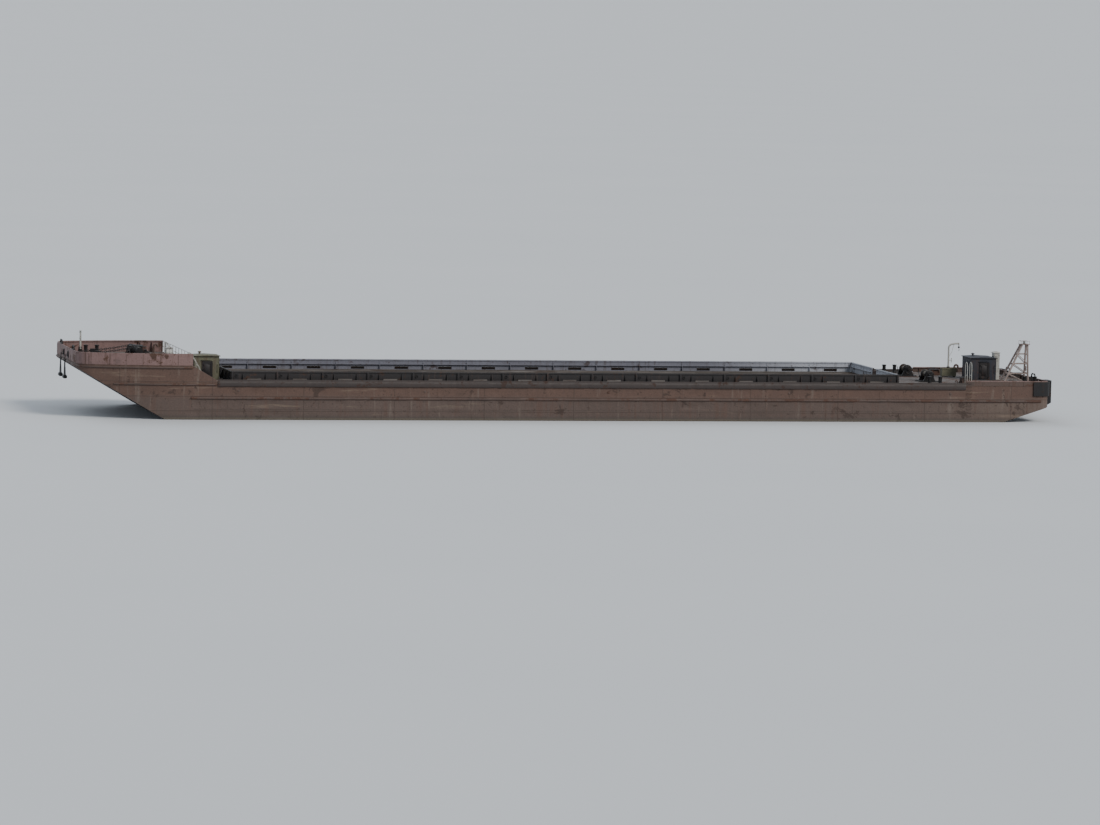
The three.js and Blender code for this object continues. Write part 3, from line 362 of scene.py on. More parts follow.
class Form:
    """Gathers plates, bars, swept tubes and turned shapes into one mesh.

    Points are in millimetres from `at`, a place in the whole model, which place() can move on.
    """

    def __init__(self, at=(0, 0, 0)):
        self.bm = bmesh.new()
        self.place(*at)

    def place(self, x, y, z):
        self.at = Vector((x, y, z))
        return self

    def face(self, points):
        self.bm.faces.new([self.bm.verts.new(self.at + Vector(p)) for p in points])

    def loft(self, rings, closed=False, caps=(True, True)):
        """Joins rings of points with faces. A ring of one point is a tip."""
        made = [[self.bm.verts.new(self.at + Vector(p)) for p in ring] for ring in rings]
        pairs = list(zip(made, made[1:])) + ([(made[-1], made[0])] if closed else [])
        for low, high in pairs:
            n = max(len(low), len(high))
            for i in range(n):
                j = (i + 1) % n
                corners = [low[i % len(low)], low[j % len(low)], high[j % len(high)], high[i % len(high)]]
                corners = [v for k, v in enumerate(corners) if v not in corners[:k]]
                if len(corners) > 2:
                    self.bm.faces.new(corners)
        for ring, cap, step in ((made[0], caps[0], -1), (made[-1], caps[1], 1)):
            if cap and not closed and len(ring) > 2:
                self.bm.faces.new(ring[::step])
        return self

    def box(self, lo, hi):
        (a, b, c), (d, e, f) = lo, hi
        return self.loft([[(a, b, z), (d, b, z), (d, e, z), (a, e, z)] for z in (c, f)])

    def slab(self, centre, size):
        half = Vector(size) / 2
        return self.box(Vector(centre) - half, Vector(centre) + half)

    def bar(self, start, end, r, sides=12, r_end=None):
        along = Vector(end) - Vector(start)
        ends = ((start, r), (end, r if r_end is None else r_end))
        return self.loft([around(p, along, q, sides) for p, q in ends])

    def tube(self, points, r, sides=8, closed=False):
        """A round bar along a line of points."""
        points = [Vector(p) for p in points]
        last = len(points) - 1
        rings, across = [], None
        for i, p in enumerate(points):
            before = points[i - 1] if i or closed else p
            after = points[(i + 1) % (last + 1)] if i < last or closed else p
            ahead = (after - before).normalized()
            across = basis(ahead)[0] if across is None else (across - ahead * across.dot(ahead)).normalized()
            up = ahead.cross(across)
            rings.append([p + (across * c + up * s) * r for c, s in circle(sides)])
        return self.loft(rings, closed)

    def turned(self, profile, origin=(0, 0, 0), axis=UP, sides=28):
        """A turned shape. The profile is (radius, height) pairs; a radius of 0 is a tip."""
        origin, axis = Vector(origin), Vector(axis)
        return self.loft([around(origin + axis * h, axis, r, sides if r else 1) for r, h in profile])

    def collar(self, centre, r_in, r_out, half, sides=28):
        """A ring of square section about a line across the barge."""
        profile = ((r_in, -half), (r_out, -half), (r_out, half), (r_in, half))
        return self.turned(profile, centre, ACROSS, sides)

    def ring(self, centre, axis, radius, r, sides=8, count=24):
        return self.tube(around(centre, axis, radius, count), r, sides, True)

    def prism(self, points, shift):
        return self.loft([points, [Vector(p) + Vector(shift) for p in points]])

    def bolts(self, places, axis=UP, r=2.5, height=2.2):
        for place in places:
            start = Vector(place)
            self.bar(start, start + Vector(axis) * height, r, 6, r * 0.86)
        return self

    def bolt_ring(self, centre, axis, radius, count, start=0.4, r=1.5, height=1.4):
        return self.bolts(around(centre, axis, radius, count, start), axis, r, height)

    def web(self, centre, way, inner, outer, low, high, thick=1.4):
        """A three-cornered plate that stands on a base and runs up a post. way is (cosine, sine)."""
        (x, y), (c, s) = centre, way
        near, far = (x + inner * c, y + inner * s), (x + outer * c, y + outer * s)
        return self.prism([(*near, low), (*far, low), (*near, high)], (-thick * s, thick * c, 0))

    def gear(self, centre, axis, radius, width, teeth, depth):
        rim = [ray * (radius if k % 4 in (1, 2) else radius - depth)
               for k, ray in enumerate(around((0, 0, 0), axis, 1, teeth * 4))]
        shift = Vector(axis) * width
        return self.prism([Vector(centre) - shift / 2 + p for p in rim], shift)

    def blocks(self, *sizes):
        """Level rectangles joined one above another, as (half x, half y, height, rise across x)."""
        corners = ((-1, -1), (1, -1), (1, 1), (-1, 1))
        return self.loft([[(a * w, b * v, z + a * tilt) for a, b in corners]
                          for w, v, z, tilt in ((*size, 0)[:4] for size in sizes)])

    def spokes(self, centre, axis, r_in, r_out, count, thick, width):
        axis = Vector(axis)
        middle = Vector(centre) - axis * width / 2
        for ray in around((0, 0, 0), axis, 1, count):
            side = axis.cross(ray) * thick
            inner, outer = middle + ray * r_in, middle + ray * r_out
            self.prism([inner + side, outer + side, outer - side, inner - side], axis * width)

    def handwheel(self, centre, axis, radius, r):
        """A rimmed wheel with four spokes and a hub."""
        centre, axis = Vector(centre), Vector(axis)
        self.ring(centre, axis, radius, r, 8, 28)
        for ray in around((0, 0, 0), axis, 1, 4):
            self.bar(centre + ray * r, centre + ray * (radius - r * 0.3), r * 0.6, 8)
        self.bar(centre - axis * r * 1.6, centre + axis * r * 1.6, r * 1.8, 12)

    def done(self, name, slot, body="barge", replaces=(), bevel=0.0, smooth=40, material=None):
        bmesh.ops.recalc_face_normals(self.bm, faces=self.bm.faces)
        for vert in self.bm.verts:
            vert.co *= 0.001
        mesh = bpy.data.meshes.new(name)
        self.bm.to_mesh(mesh)
        self.bm.free()
        mesh.shade_smooth()
        mesh.set_sharp_from_angle(angle=math.radians(smooth))
        mesh.materials.append(MATERIALS[material or slot])
        made = linked(name, mesh)
        if bevel:
            round_edges(made, bevel)
        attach(made, body)
        if replaces:
            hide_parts(*replaces)


# Hull, in the same curves as the solid, with dished and dented plating
HULL_TOP, BOW_TOP = 357, 497
RAKE_BLEND = 280
# Where each rake leaves the flat bottom: x, way out, rise over the blend, slope past it
RAKES = ((-3305, -1, 81.2, 0.58012), (3550, 1, 45, 0.32143))
BILGE = 50
# Plating between the welds and strakes, dished as one band each, as (low, high)
BANDS = ((50, 135), (135, 216), (240, 325), (357, 497))
SIDE_HEIGHTS = (357, 341, 325, 308, 291, 274, 257, 240, 228, 216,
                200, 184, 168, 151, 135, 118, 101, 84, 67, 50)
UPPER_HEIGHTS = (497, 479, 461, 444, 427, 410, 392, 374)
# Sections of the strakes as (proud, height)
GUNWALE = ((0, 325), (8, 326.4), (10.9, 328), (11.6, 331), (11.6, 357), (10.6, 360.2), (3, 367),
           (1, 372), (0.6, 383), (-1, 385), (-5, 385), (-6, 383.6), (-6, 360.3), (0, 360.3))
FENDER = ((0, 216), (7.5, 219.5), (10.4, 222), (11.6, 225.8), (11.6, 230.2), (10.4, 234),
          (7.5, 236.5), (0, 240))
# Side ladders as (side, x, top rung); the rungs keep clear of the two strakes
LADDERS = ((-1, 3520, 385), (1, -3200, 415), (1, 3520, 325))
RUNG_HEIGHTS = (100, 130, 160, 190, 265, 295, 325, 355, 385, 415)
RUNG = ((-20, -3), (-20, 7.5), (-17, 9.5), (17, 9.5), (20, 7.5), (20, -3))
PLUG = ((0, 0), (11, 0), (11, 3), (6, 4.5), (0, 4.5))


def quad(a, b, c, t):
    return tuple((1 - t) ** 2 * p + 2 * t * (1 - t) * q + t * t * r for p, q, r in zip(a, b, c))


def bow_curve(margin, steps=(8, 22)):
    """Half of the deck edge at the bow as (x, half breadth), from the stem aft."""
    side, fore = HALF_BEAM - margin, BOW + margin
    knuckle = (BOW + 170, side - 95)
    first = [quad((fore, 540), (fore, side - 115), knuckle, i / steps[0]) for i in range(steps[0])]
    second = [quad(knuckle, (BOW + 520, side), (BOW + 950, side), i / steps[1])
              for i in range(steps[1] + 1)]
    return first + second


def stern_curve(margin, steps=8):
    side, aft = HALF_BEAM - margin, STERN - margin
    return [quad((aft - 80, side), (aft, side), (aft, side - 80), i / steps) for i in range(steps + 1)]


def bottom(x):
    """Height of the flat of the bottom, with the rake at the bow and the rise at the stern."""
    for start, way, rise, slope in RAKES:
        out = way * (x - start)
        if out > RAKE_BLEND:
            return rise + (out - RAKE_BLEND) * slope
        if out > 0:
            return rise * (out / RAKE_BLEND) ** 2
    return 0.0


def bilge(y):
    """How far the bottom's corner is rounded up, at a half breadth y."""
    return 0.0 if y < HALF_BEAM - BILGE else BILGE * (1 - math.sqrt(max(0.0, (HALF_BEAM - y) / BILGE))) ** 2


def dents(count, x0, x1, z0, z1, depth):
    return [(rng.uniform(x0, x1), rng.uniform(z0, z1), rng.uniform(30, 120), rng.uniform(0.3, 1.0) * depth)
            for _ in range(count)]


DISH = {(side, band, bay): rng.uniform(0.4, 2.6)
        for side in (-1, 1) for band in range(4) for bay in range(150)}
KNOCKS = {side: dents(46, -3300, 3600, 70, 320, 4.8) for side in (-1, 1)}


def clamped(share):
    return min(1.0, max(0.0, share))


def dish(side, x, z):
    """How far the side plating is pushed in: dished between frames, and knocked here and there."""
    for band, (low, high) in enumerate(BANDS):
        if low < z < high:
            edge = math.sin(math.pi * (z - low) / (high - low))
            bay = (x - BOW) / FRAME_SPACING
            inward = DISH[side, band, int(bay)] * math.sin(math.pi * (bay % 1.0)) ** 2 * edge ** 2
            for kx, kz, size, depth in KNOCKS[side]:
                if abs(x - kx) < 2.2 * size:
                    near = ((x - kx) ** 2 + (z - kz) ** 2 * 3) / (0.5 * size * size)
                    inward += depth * math.exp(-near) * edge
            # Flat again towards the corners of the hull.
            start, end = (-4050, -3300) if band == 3 else (-3500, 3750)
            return inward * clamped((x - start) / 200) * clamped((end - x) / 200)
    return 0.0


def hull_ring(x, b, top, heights):
    """One section of the hull, from the port deck edge down, under and up to the starboard deck edge."""
    low = max(bottom(x), bilge(b))
    half = [(b, low + (z - BILGE) * (top - low) / (top - BILGE)) for z in heights]
    turn = [b - BILGE * (i / 7) ** 2 for i in range(1, 8)]
    half += [(y, max(bottom(x), bilge(y))) for y in turn]
    half += [((b - BILGE) * share, bottom(x)) for share in (0.75, 0.5, 0.25)]
    push = {side: [dish(side, x, z) if y == b else 0.0 for y, z in half] for side in (-1, 1)}
    port = [(x, d - y, z) for (y, z), d in zip(half, push[-1])]
    starboard = [(x, y - d, z) for (y, z), d in zip(half, push[1])]
    return port + [(x, 0.0, bottom(x))] + starboard[::-1]


def hull_shell():
    form = Form()
    raised = bow_curve(0) + [(FORECASTLE_AFT, HALF_BEAM)]
    fore = [hull_ring(x, b, BOW_TOP, UPPER_HEIGHTS + SIDE_HEIGHTS) for x, b in raised]
    straight = [(FORECASTLE_AFT + 15 * i, HALF_BEAM) for i in range(498)]
    main = [hull_ring(x, b, HULL_TOP, SIDE_HEIGHTS) for x, b in straight + stern_curve(0)]
    form.loft(fore, caps=(True, False)).loft(main, caps=(False, True))
    rise = len(UPPER_HEIGHTS) + 1
    form.face(fore[-1][:rise][::-1] + fore[-1][-rise:][::-1])
    bmesh.ops.remove_doubles(form.bm, verts=form.bm.verts, dist=0.01)
    # The sloping wings of plate behind the raised deck, with a bead along the edge.
    for side in (-1, 1):
        y = side * HALF_BEAM - max(0, side) * 6
        corners = ((FORECASTLE_AFT, HULL_TOP), (-3080, HULL_TOP), (-3080, 372), (FORECASTLE_AFT, BOW_TOP))
        form.prism([(x, y, z) for x, z in corners], (0, 6, 0))
        edge = [(-3288, 495.5), (-3185, 434), (-3081, 372), (-3079, 366), (-3079, 361)]
        form.tube([(x, side * 812, z) for x, z in edge], 3.6)
    form.done("hull_shell", "hull_rust", replaces=("hull",), smooth=28)


def edge_strake(name, profile, x0, x1, side, node, knocks, material):
    """A rubbing strake along one side, knocked in here and there. The profile is (proud, height)."""
    marks = dents(knocks, x0, x1, 0, 1, 6)
    count = int((x1 - x0) / 20)
    rings = []
    for i in range(count + 1):
        x = x0 + (x1 - x0) * i / count
        push = sum(depth * math.exp(-((x - m) / (0.35 * size)) ** 2) for m, _, size, depth in marks)
        push = min(9.0, push + 0.6 * (1 + math.sin(x * 0.017 + side) * math.sin(x * 0.0073)))
        ring = []
        for out, z in profile:
            ring.append((x, side * (HALF_BEAM + 0.3 + out - push * clamped(out / STRAKE_PROUD)), z))
        rings.append(ring)
    piece = f"{name}_{node}"
    Form().loft(rings).done(piece, "edge_rust", replaces=(piece,), smooth=30, material=material)


def side_fittings():
    welds, rungs, studs = Form(), Form(), Form()
    for node, side in SIDES:
        # The gunwale strakes are darker than the fender strakes below them.
        edge_strake("gunwale", GUNWALE, -3075, 3485, side, node, 20, "dark_gunwale")
        edge_strake("fender", FENDER, -3300, 4170, side, node, 26, "edge_rust")
        face = side * HALF_BEAM
        seams = [[(x, 135) for x in range(-3280, 4100, 20)]]
        for band, (low, high) in enumerate(BANDS[:3]):
            for x in range(BOW + 1020 + 240 * band, 3600, PLATE):
                seams.append([(x, low + (high - low) * k / 4) for k in range(5)])
        for seam in seams:
            welds.tube([(x, face - side * (dish(side, x, z) - 0.2), z) for x, z in seam], 1.4, 5)
        for x in (-2900, -1300, 300, 1900, 3350):
            studs.turned(PLUG, (x, face - side, 290), (0, side, 0), 16)
    for side, x, top in LADDERS:
        for z in (z for z in RUNG_HEIGHTS if z <= top):
            rungs.tube([(x + dx, side * (HALF_BEAM + dy), z) for dx, dy in RUNG], 1.9, 6)
    # Upright seams of both bulwarks, as (x, y, foot, step, count of points).
    upright = [(*bow_curve(-0.2)[k], 501, 11, 9) for k in (1, 6, 11, 15, 19, 23, 27)]
    upright += [(x, HALF_BEAM + 0.2, 361, 8.5, 5) for x in (3640, 3880, 4010)]
    for x, y, foot, step, count in upright:
        for side in (-1, 1):
            welds.tube([(x, side * y, foot + step * i) for i in range(count)], 1.3, 5)
    welds.tube(edge_path_aft(stern_curve(-0.4), 358.6, 3487), 1.5, 6)
    welds.tube(edge_path(bow_curve(-0.4), 498.6), 1.5, 6)
    welds.done("hull_welds", "hull_rust", smooth=60)
    rungs.done("side_ladder_rungs", "edge_rust", smooth=60)
    studs.done("overboard_plugs", "edge_rust")
    # Half-round bars that carry the two strakes on round the raised bow.
    bars = Form()
    knuckle = bow_curve(-2)
    for side in (-1, 1):
        lower = [(x, y) for x, y in knuckle if x > -3960] + [(-3200, 817), (-3086, 817)]
        bars.tube([(x, side * y, 341) for x, y in lower], 8.5, 10)
    bars.tube(edge_path(knuckle + [(-3292, 817)], 481), 8.5, 10)
    bars.done("bow_fender_pipe", "edge_rust", smooth=60)


# Bulwarks
def edge_path(curve, z):
    """A deck edge at the bow as points from port to starboard."""
    return [(x, -y, z) for x, y in curve[::-1]] + [(x, y, z) for x, y in curve]


def edge_path_aft(curve, z, start):
    port = [(start, -curve[0][1], z)] + [(x, -y, z) for x, y in curve]
    return port + [(x, y, z) for x, y in curve[::-1]] + [(start, curve[0][1], z)]


def chock(form, x, y, z, out):
    """An open fairlead on the rail: a saddle with two horns that curl over it."""
    form.place(x, y, z)
    for end in (-1, 1):
        form.tube([(0, end * a, b) for a, b in ((50, 0), (50, 12), (42, 26), (28, 33), (14, 31))], 6.2, 10)
    form.box((-8.5, -60, -1), (8.5, 60, 6)).bolts(grid((0,), (-56, 56), (6,)))
    form.slab((-out * 6, 0, -15), (4, 90, 30))


def bulwark_trim():
    rails, chocks, rims = Form(), Form(), Form()
    rails.tube(edge_path(bow_curve(5.2) + [(-3291, 809.8)], 595.5), 4.7)
    rails.tube(edge_path_aft(stern_curve(5.2), 400.5, 3492), 4.7)
    rails.done("bulwark_rail_pipes", "bow_paint", smooth=60)
    for y in (-370, 370):
        chock(chocks, BOW + 9.5, y, 599, -1)
        chock(chocks, STERN - 9.5, y, 404, 1)
    chocks.done("fairleads", "gear_black", smooth=50)
    # Each hawse opening is a rounded square.
    square = [[math.copysign(abs(v) ** 0.5, v) for v in way] for way in circle(28)]
    for y in (-CHAIN_Y, CHAIN_Y):
        rims.tube([(BOW - 0.5, y + 26 * c, 542 + 28 * s) for c, s in square], 4.8, 8, True)
    for y in (-440, -200, 60, 260, 440):
        rims.box((BOW + 3.5, y - 1.5, FORECASTLE), (BOW + 16, y + 1.5, 588))
    rims.done("hawse_rims", "gear_black", smooth=50)


def forecastle_break():
    """The bulkhead under the raised deck: stiffeners, steps on each side and a guard rail above."""
    plates, rails = Form(), Form()
    for y in range(-750, 751, 150):
        plates.slab((-3283, y, 427), (14, 3, 132)).slab((-3276.5, y, 427), (3, 14, 128))
    rise = FORECASTLE - DECK
    for side in (-1, 1):
        for form in (plates, rails):
            form.place(FORECASTLE_AFT, side * 655, DECK)
        for y in (-30, 30):
            string = ((78, 0), (95, 0), (17, rise), (0, rise))
            plates.prism([(x, y - 1.5, z) for x, z in string], (0, 3, 0))
            line = ((90, 2), (90, 88), (84, 98), (6, 232), (-4, 238), (-10, 236), (-10, 141))
            rails.tube([(x, y, z) for x, z in line], 2.6)
            rails.bar((48, y, 72), (48, y, 160), 2.1, 8)
        for k in range(1, 6):
            z = rise * k / 6
            plates.slab((86 - 78 * z / rise, 0, z), (22, 57, 2.4))
    # Guard rails, with gaps for the steps.
    rails.place(-3296, 0, FORECASTLE)
    spans = ((-618, 618), (-803, -692), (692, 803))
    for y in (*range(-560, 561, 160), *(y for span in spans for y in span)):
        rails.bar((0, y, 0), (0, y, 95), 2.4, 8)
    for start, end in spans:
        for z in (50, 95):
            rails.bar((0, start, z), (0, end, z), 2.4, 8)
    plates.done("forecastle_steps", "edge_rust", bevel=0.4)
    rails.done("forecastle_rails", "mast_grey", smooth=50)


# Cargo space
def planks():
    """Worn sheathing boards over the steel, a few of them broken away."""
    form = Form()
    for row in range(BOARD_ROWS):
        y0 = BOARDS_PORT + row * BOARD_WIDTH
        start = BOARDS_FORE - (row * BOARD_SHIFT % 1.0) * BOARD_LENGTH
        while start < BOARDS_AFT:
            lo, hi = max(start, BOARDS_FORE), min(start + BOARD_LENGTH, BOARDS_AFT)
            start += BOARD_LENGTH
            worn, lost = rng.uniform(0.0, 1.2), rng.random() < 0.03
            if hi - lo > 30 and not lost:
                form.box((lo + 0.7, y0 + 0.8, DECK), (hi - 0.7, y0 + BOARD_WIDTH - 0.8, BOARD_TOP - worn))
    form.done("cargo_planks", "planking", replaces=("cargo_deck",), bevel=0.9)


def wall_trim():
    rail, bars, rings, beads = Form(), Form(), Form(), Form()
    fore, aft = CARGO_ENDS
    for side in (-1, 1):
        top = [(fore + 65 * i, side * (739.5 + rng.uniform(-0.6, 0.6)), 446.2 - rng.uniform(0.0, 1.2))
               for i in range(91)]
        rail.tube(top, 5.8)
        bars.slab(((fore + aft) / 2, side * 729, 410.5), (aft - fore - 20, 14, 3))
        bars.slab(((fore + aft) / 2, side * 722.5, 408.75), (aft - fore - 20, 3, 6.5))
        for i in range(BAYS + 1):
            x = min(max(fore + BAY * i, fore + 12), aft - 12)
            knee = ((736, 365.5), (714, 365.5), (722, 409), (736, 436))
            bars.prism([(x - 1.5, side * y, z) for y, z in knee], (3, 0, 0))
            for dx in (-7.8, 7.8):
                beads.tube([(x + dx, side * 740.8, 361.2 + 10.5 * k) for k in range(8)], 1.1, 5)
        for i in range(BAYS):
            lashing_ring(rings, fore + BAY * i + (42 if i == 0 else 30), side, 412)
            for z in (365.5, 392.5):
                bars.slab((fore + BAY * (i + 0.5), side * 742.5, z), (128, 5, 2.4))
        for x, out in ((fore, -1), (aft, 1)):
            across = (76.5, 200, 330, 460, 600, 738.5)
            rail.tube([(x - out, side * y, 445.8) for y in across], 5.6)
            bars.slab((x - out * 10.5, side * 410, 410.5), (13, 620, 3))
    rail.done("cargo_rail_pipes", "wall_steel", smooth=60)
    bars.done("cargo_wall_stiffeners", "wall_steel", bevel=0.5)
    rings.done("lashing_rings", "gear_black", smooth=60)
    beads.done("wall_weld_beads", "wall_steel", smooth=60)


def lashing_ring(form, x, side, z):
    form.place(x, side * 741.2, z)
    form.slab((0, 0, 10), (18, 2, 8))
    form.tube([(-4, 0, 9), (-4, side * 5, 11), (4, side * 5, 11), (4, 0, 9)], 1.4, 6)
    form.ring((0, side * 3.6, 0), (0.12, side, 0.1), 9.2, 1.6, 6, 18)


def gates():
    for x, out, end in ((CARGO_ENDS[0], -1, "fore"), (CARGO_ENDS[1], 1, "aft")):
        leaf, keeper = Form((x, 0, 0)), Form((x, 0, 0))
        for z in (385, 408):
            leaf.slab((out * 2, -5, z), (4, 90, 6))
        leaf.tube([(out * a, -43, b) for a, b in ((1, 398), (13, 400), (13, 416), (1, 418))], 1.6, 6)
        for z in (379, 401, 424):
            leaf.slab((-out * 4.8, -2, z), (2.4, 96, 4.5))
        for y in (-48, -16, 16, 44):
            leaf.slab((-out * 4.7, y, 401.5), (2.2, 4.5, 48))
        leaf.bolts(grid((out * 8,), (-46, -20, 5, 30), (428,)), (out, 0, 0), 2, 1.6)
        leaf.turned([(0, 0), (4.8, 0), (5.2, 3), (0, 4.5)], (out * 18, 57, 432.5), sides=12)
        leaf.done(f"gate_{end}_fittings", "edge_rust", body=f"gate_{end}", smooth=50)
        keeper.slab((out * 16.75, -68.5, 408), (4.5, 12, 8)).slab((out * 13.25, -68.5, 408), (2.5, 8, 12))
        keeper.done(f"gate_{end}_keeper", "gear_black", bevel=0.4)


# Mooring gear
def bollard(node, x, y, deck):
    """A pair of posts on one plate. node is the solid's name."""
    form = Form((x, y, deck))
    form.box((-80, -26, 0), (80, 26, 5))
    post = ((19.5, 4.5), (17.2, 6.5), (16, 9.2), (15.8, 59.7), (16.3, 62.7), (19.2, 65.2), (20, 67.2),
            (20, 70.2), (18.8, 71.9), (0, 74.7))
    for dx in (-48, 48):
        form.turned(post, (dx, 0, 0))
        form.bar((dx, -25.5, 34.7), (dx, 25.5, 34.7), 3.4)
        for way in circle(4, 0.4):
            form.web((dx, 0), way, 15.5, 24.5, 4.7, 16.7)
    form.bolts(grid((-73, 0, 73), (-20, 20), (5,)))
    form.done(node.replace("bollard", "bollard_posts"), "gear_black", replaces=(node,))


def hatch(name, x, y, deck):
    """Stiffeners and dogs round a coaming, and what rides on its lid."""
    inboard = -math.copysign(1, y)
    half = 42
    coaming, dogs, lid = Form((x, y, deck)), Form((x, y, deck)), Form((x, y, deck))
    for a, b in ((-1, 0), (1, 0), (0, -inboard)):
        coaming.slab((a * 43.5, b * 43.5, 34.2), (3 if a else 84, 3 if b else 84, 3))
    for dx in (-24, 24):
        for a in (-1, 1):
            coaming.prism([(a * half, dx, 0.2), (a * 56, dx, 0.2), (a * half, dx, 31.7)], (0, 2, 0))
        dogs.bar((dx, -inboard * 48, 27.7), (dx, -inboard * 48, 44.2), 2.1, 10)
        dogs.slab((dx, -inboard * 47, 27.5), (8, 10, 3.5))
    coaming.done(f"hatch_stiffeners_{name}", "edge_rust", bevel=0.4)
    dogs.done(f"hatch_dogs_{name}", "gear_black", smooth=50)
    lid.slab((0, 0, 51.4), (68, 68, 1.8))
    for dx in (-22, 22):
        lid.slab((dx, inboard * 5.5, 53), (8, 79, 1.5))
    lid.bolts(grid((-22, 22), (-20 * inboard, 20 * inboard), (53.8,)), UP, 1.9, 1.4)
    for b in (-30, 26):
        lid.slab((0, inboard * b, 44), (66, 4, 3.4))
    for a in (-31, 0, 31):
        lid.slab((a, -inboard * 2, 44), (4, 58, 3.4))
    grip = ((-13, 52.3), (-13, 62.3), (-9, 65.3), (9, 65.3), (13, 62.3), (13, 52.3))
    lid.tube([(a, -inboard * 30, b) for a, b in grip], 1.9)
    lid.done(f"hatch_lid_fittings_{name}", "wall_steel", body=f"hatch_lid_{name}")


WINDLASS = (-3660, 0, FORECASTLE)
WINDLASS_SHAFT = 75
# Half of the windlass shaft: chain wheels, brake drums and warping heads, as (radius, distance out)
SHAFT_HALF = ((10, 50), (24, 50.5), (24, 62), (36, 63), (36, 81), (24, 82), (24, 104), (35.2, 107), (36, 109),
              (36, 113), (34, 115.5), (28, 119), (26.5, 124), (26.5, 136), (28, 141), (34, 144.5), (36, 147),
              (36, 151), (34, 153.5), (24, 156), (24, 168), (10, 169), (10, 197), (22, 198), (30.5, 200.5),
              (32, 204), (30, 207), (26, 213), (24.2, 220), (23.8, 228), (24.5, 236), (27, 242), (33.5, 248),
              (33.5, 250.5), (12, 251.5))
# Fins on it, as (distance out, inner and outer radius, count, half thickness, width)
SHAFT_FINS = ((CHAIN_Y, 26.2, 33.5, 5, 2.2, 6.5), (117, 24, 33.8, 10, 2.4, 4), (143, 24, 33.8, 10, 2.4, 4),
              (226, 22, 26.2, 6, 1.7, 28))
# Sections of the fixed pipe under each chain, and of an anchor's flukes as (inner, outer, half, height)
SPURLING = ((18, 11.9), (14, 14.7), (12, 20.7), (13.5, 25.7), (16.5, 28.2), (0, 28.3))
FLUKE = ((13, 50, 6.2, 0), (13, 48.5, 5.5, 20), (14.5, 44, 4.8, 45), (17.5, 36, 4, 70),
         (20, 27, 2.8, 90), (21.5, 23.5, 1.5, 98))
CHAIN_RADIUS, LINK_STEP = 32.5, 18.6
# A winch drum from its handwheel's end to its gear's end, as (radius, distance along)
WINCH_DRUM = ((0, -106), (6.8, -106), (8, -104.5), (8, -58), (40, -57.2), (42, -56.2), (42, -53.2),
              (40.5, -52), (22, -50.5), (22, 50.5), (40.5, 52), (42, 53.2), (42, 56.2), (40, 57.2), (8, 58),
              (8, 82), (29, 83.2), (29, 92.8), (8, 94), (8, 98.5), (0, 100))


def windlass():
    z = WINDLASS_SHAFT
    shaft = Form(WINDLASS)
    mirrored = [(r, -h) for r, h in SHAFT_HALF[::-1]]
    shaft.turned([(0, -252)] + mirrored + list(SHAFT_HALF) + [(0, 252)], (0, 0, z), ACROSS, 40)
    for side in (-1, 1):
        shaft.gear((0, side * 72, z), ACROSS, 39.8, 15.5, 32, 3.5)
        for y, *fins in SHAFT_FINS:
            shaft.spokes((0, side * y, z), ACROSS, *fins)
        shaft.bolt_ring((0, side * 251.2, z), (0, side, 0), 17, 5, 0.2, 2.2, 0.8)
    shaft.done("windlass_rotor", "gear_black", body="windlass_shaft", replaces=("windlass_shaft",))

    form = Form(WINDLASS)
    for x, way in ((-48.5, -1), (60.5, 1)):
        form.bolts(grid((x,), (-36, -12, 12, 36), (21.7, 100.7)), (way, 0, 0))
    form.box((-51, -48, 62.2), (63, 48, 68.2)).box((-30, -30, 111.9), (30, 30, 115.2))
    form.bolts(grid((-25, 25), (-25, 0, 25), (115.2,)))
    form.bar((45, 30, 111.7), (45, 30, 126.7), 3.5, 10)
    form.turned([(5.5, 126.7), (6, 130.7), (0, 133.2)], (45, 30, 0), sides=12)
    for k in range(9):
        form.turned([(23.2, 0), (26.2, 0.3), (26.2, 1.6), (23.2, 1.9)], (64 + 4.8 * k, 0, 40), AFT, 24)
    form.turned([(0, 0), (25.2, 0), (25.2, 7), (21, 11), (0, 12)], (111, 0, 40), AFT)
    form.box((75, -12, 63.2), (100, 12, 76.7))
    form.tube([(87.5, 12, 69.7), (87.5, 22, 69.7), (88.5, 30, 59.7), (88.5, 31, 0.2)], 2.5)
    for side in (-1, 1):
        y = side * 183
        form.slab((0, y, z - 18), (60, 22, 12))
        form.collar((0, y, z), 12.5, 21, 11.5)
        form.bolts(grid((-25, 25), (y - 6, y + 6), (z - 12,)))
        form.bolts(grid((-67, 67), (side * 190, side * 125, side * 60), (12,)), UP, 3, 2.8)
        brake(form, side * 93, z)
        chain_stopper(form, -340, side * CHAIN_Y)
        form.turned(SPURLING, (34, side * CHAIN_Y, 0))
    form.done("windlass_fittings", "gear_black")


def brake(form, y, z):
    """A band of lining over the drum behind the chain wheel, with its screw and wheel."""
    turns = [-0.6 + 0.2 * k for k in range(22)]
    arc = [(28.5 * math.cos(t), z + 28.5 * math.sin(t)) for t in turns]
    for dy in (-5.2, -2.6, 0.0, 2.6, 5.2):
        form.tube([(a, y + dy, b) for a, b in arc], 1.8, 6)
    form.bar((arc[0][0], y, arc[0][1]), (46, y, 11.7), 4, 10)
    form.bar((arc[-1][0], y, arc[-1][1]), (62, y, 11.7), 2.8, 10)
    form.bar((62, y, 11.7), (62, y, 107.7), 2.8, 10)
    form.handwheel((62, y, 107.7), UP, 20, 2.2)


def chain_stopper(form, x, y):
    form.slab((x, y, 2.5), (60, 48, 5))
    for dy in (-14.5, 14.5):
        form.slab((x, y + dy, 38.2), (50, 4.4, 67))
    form.bar((x - 12, y - 19, 44.2), (x - 12, y + 19, 44.2), 6, 16)
    form.bar((x + 20, y - 18.5, 68.7), (x + 20, y + 18.5, 68.7), 2.8, 10)


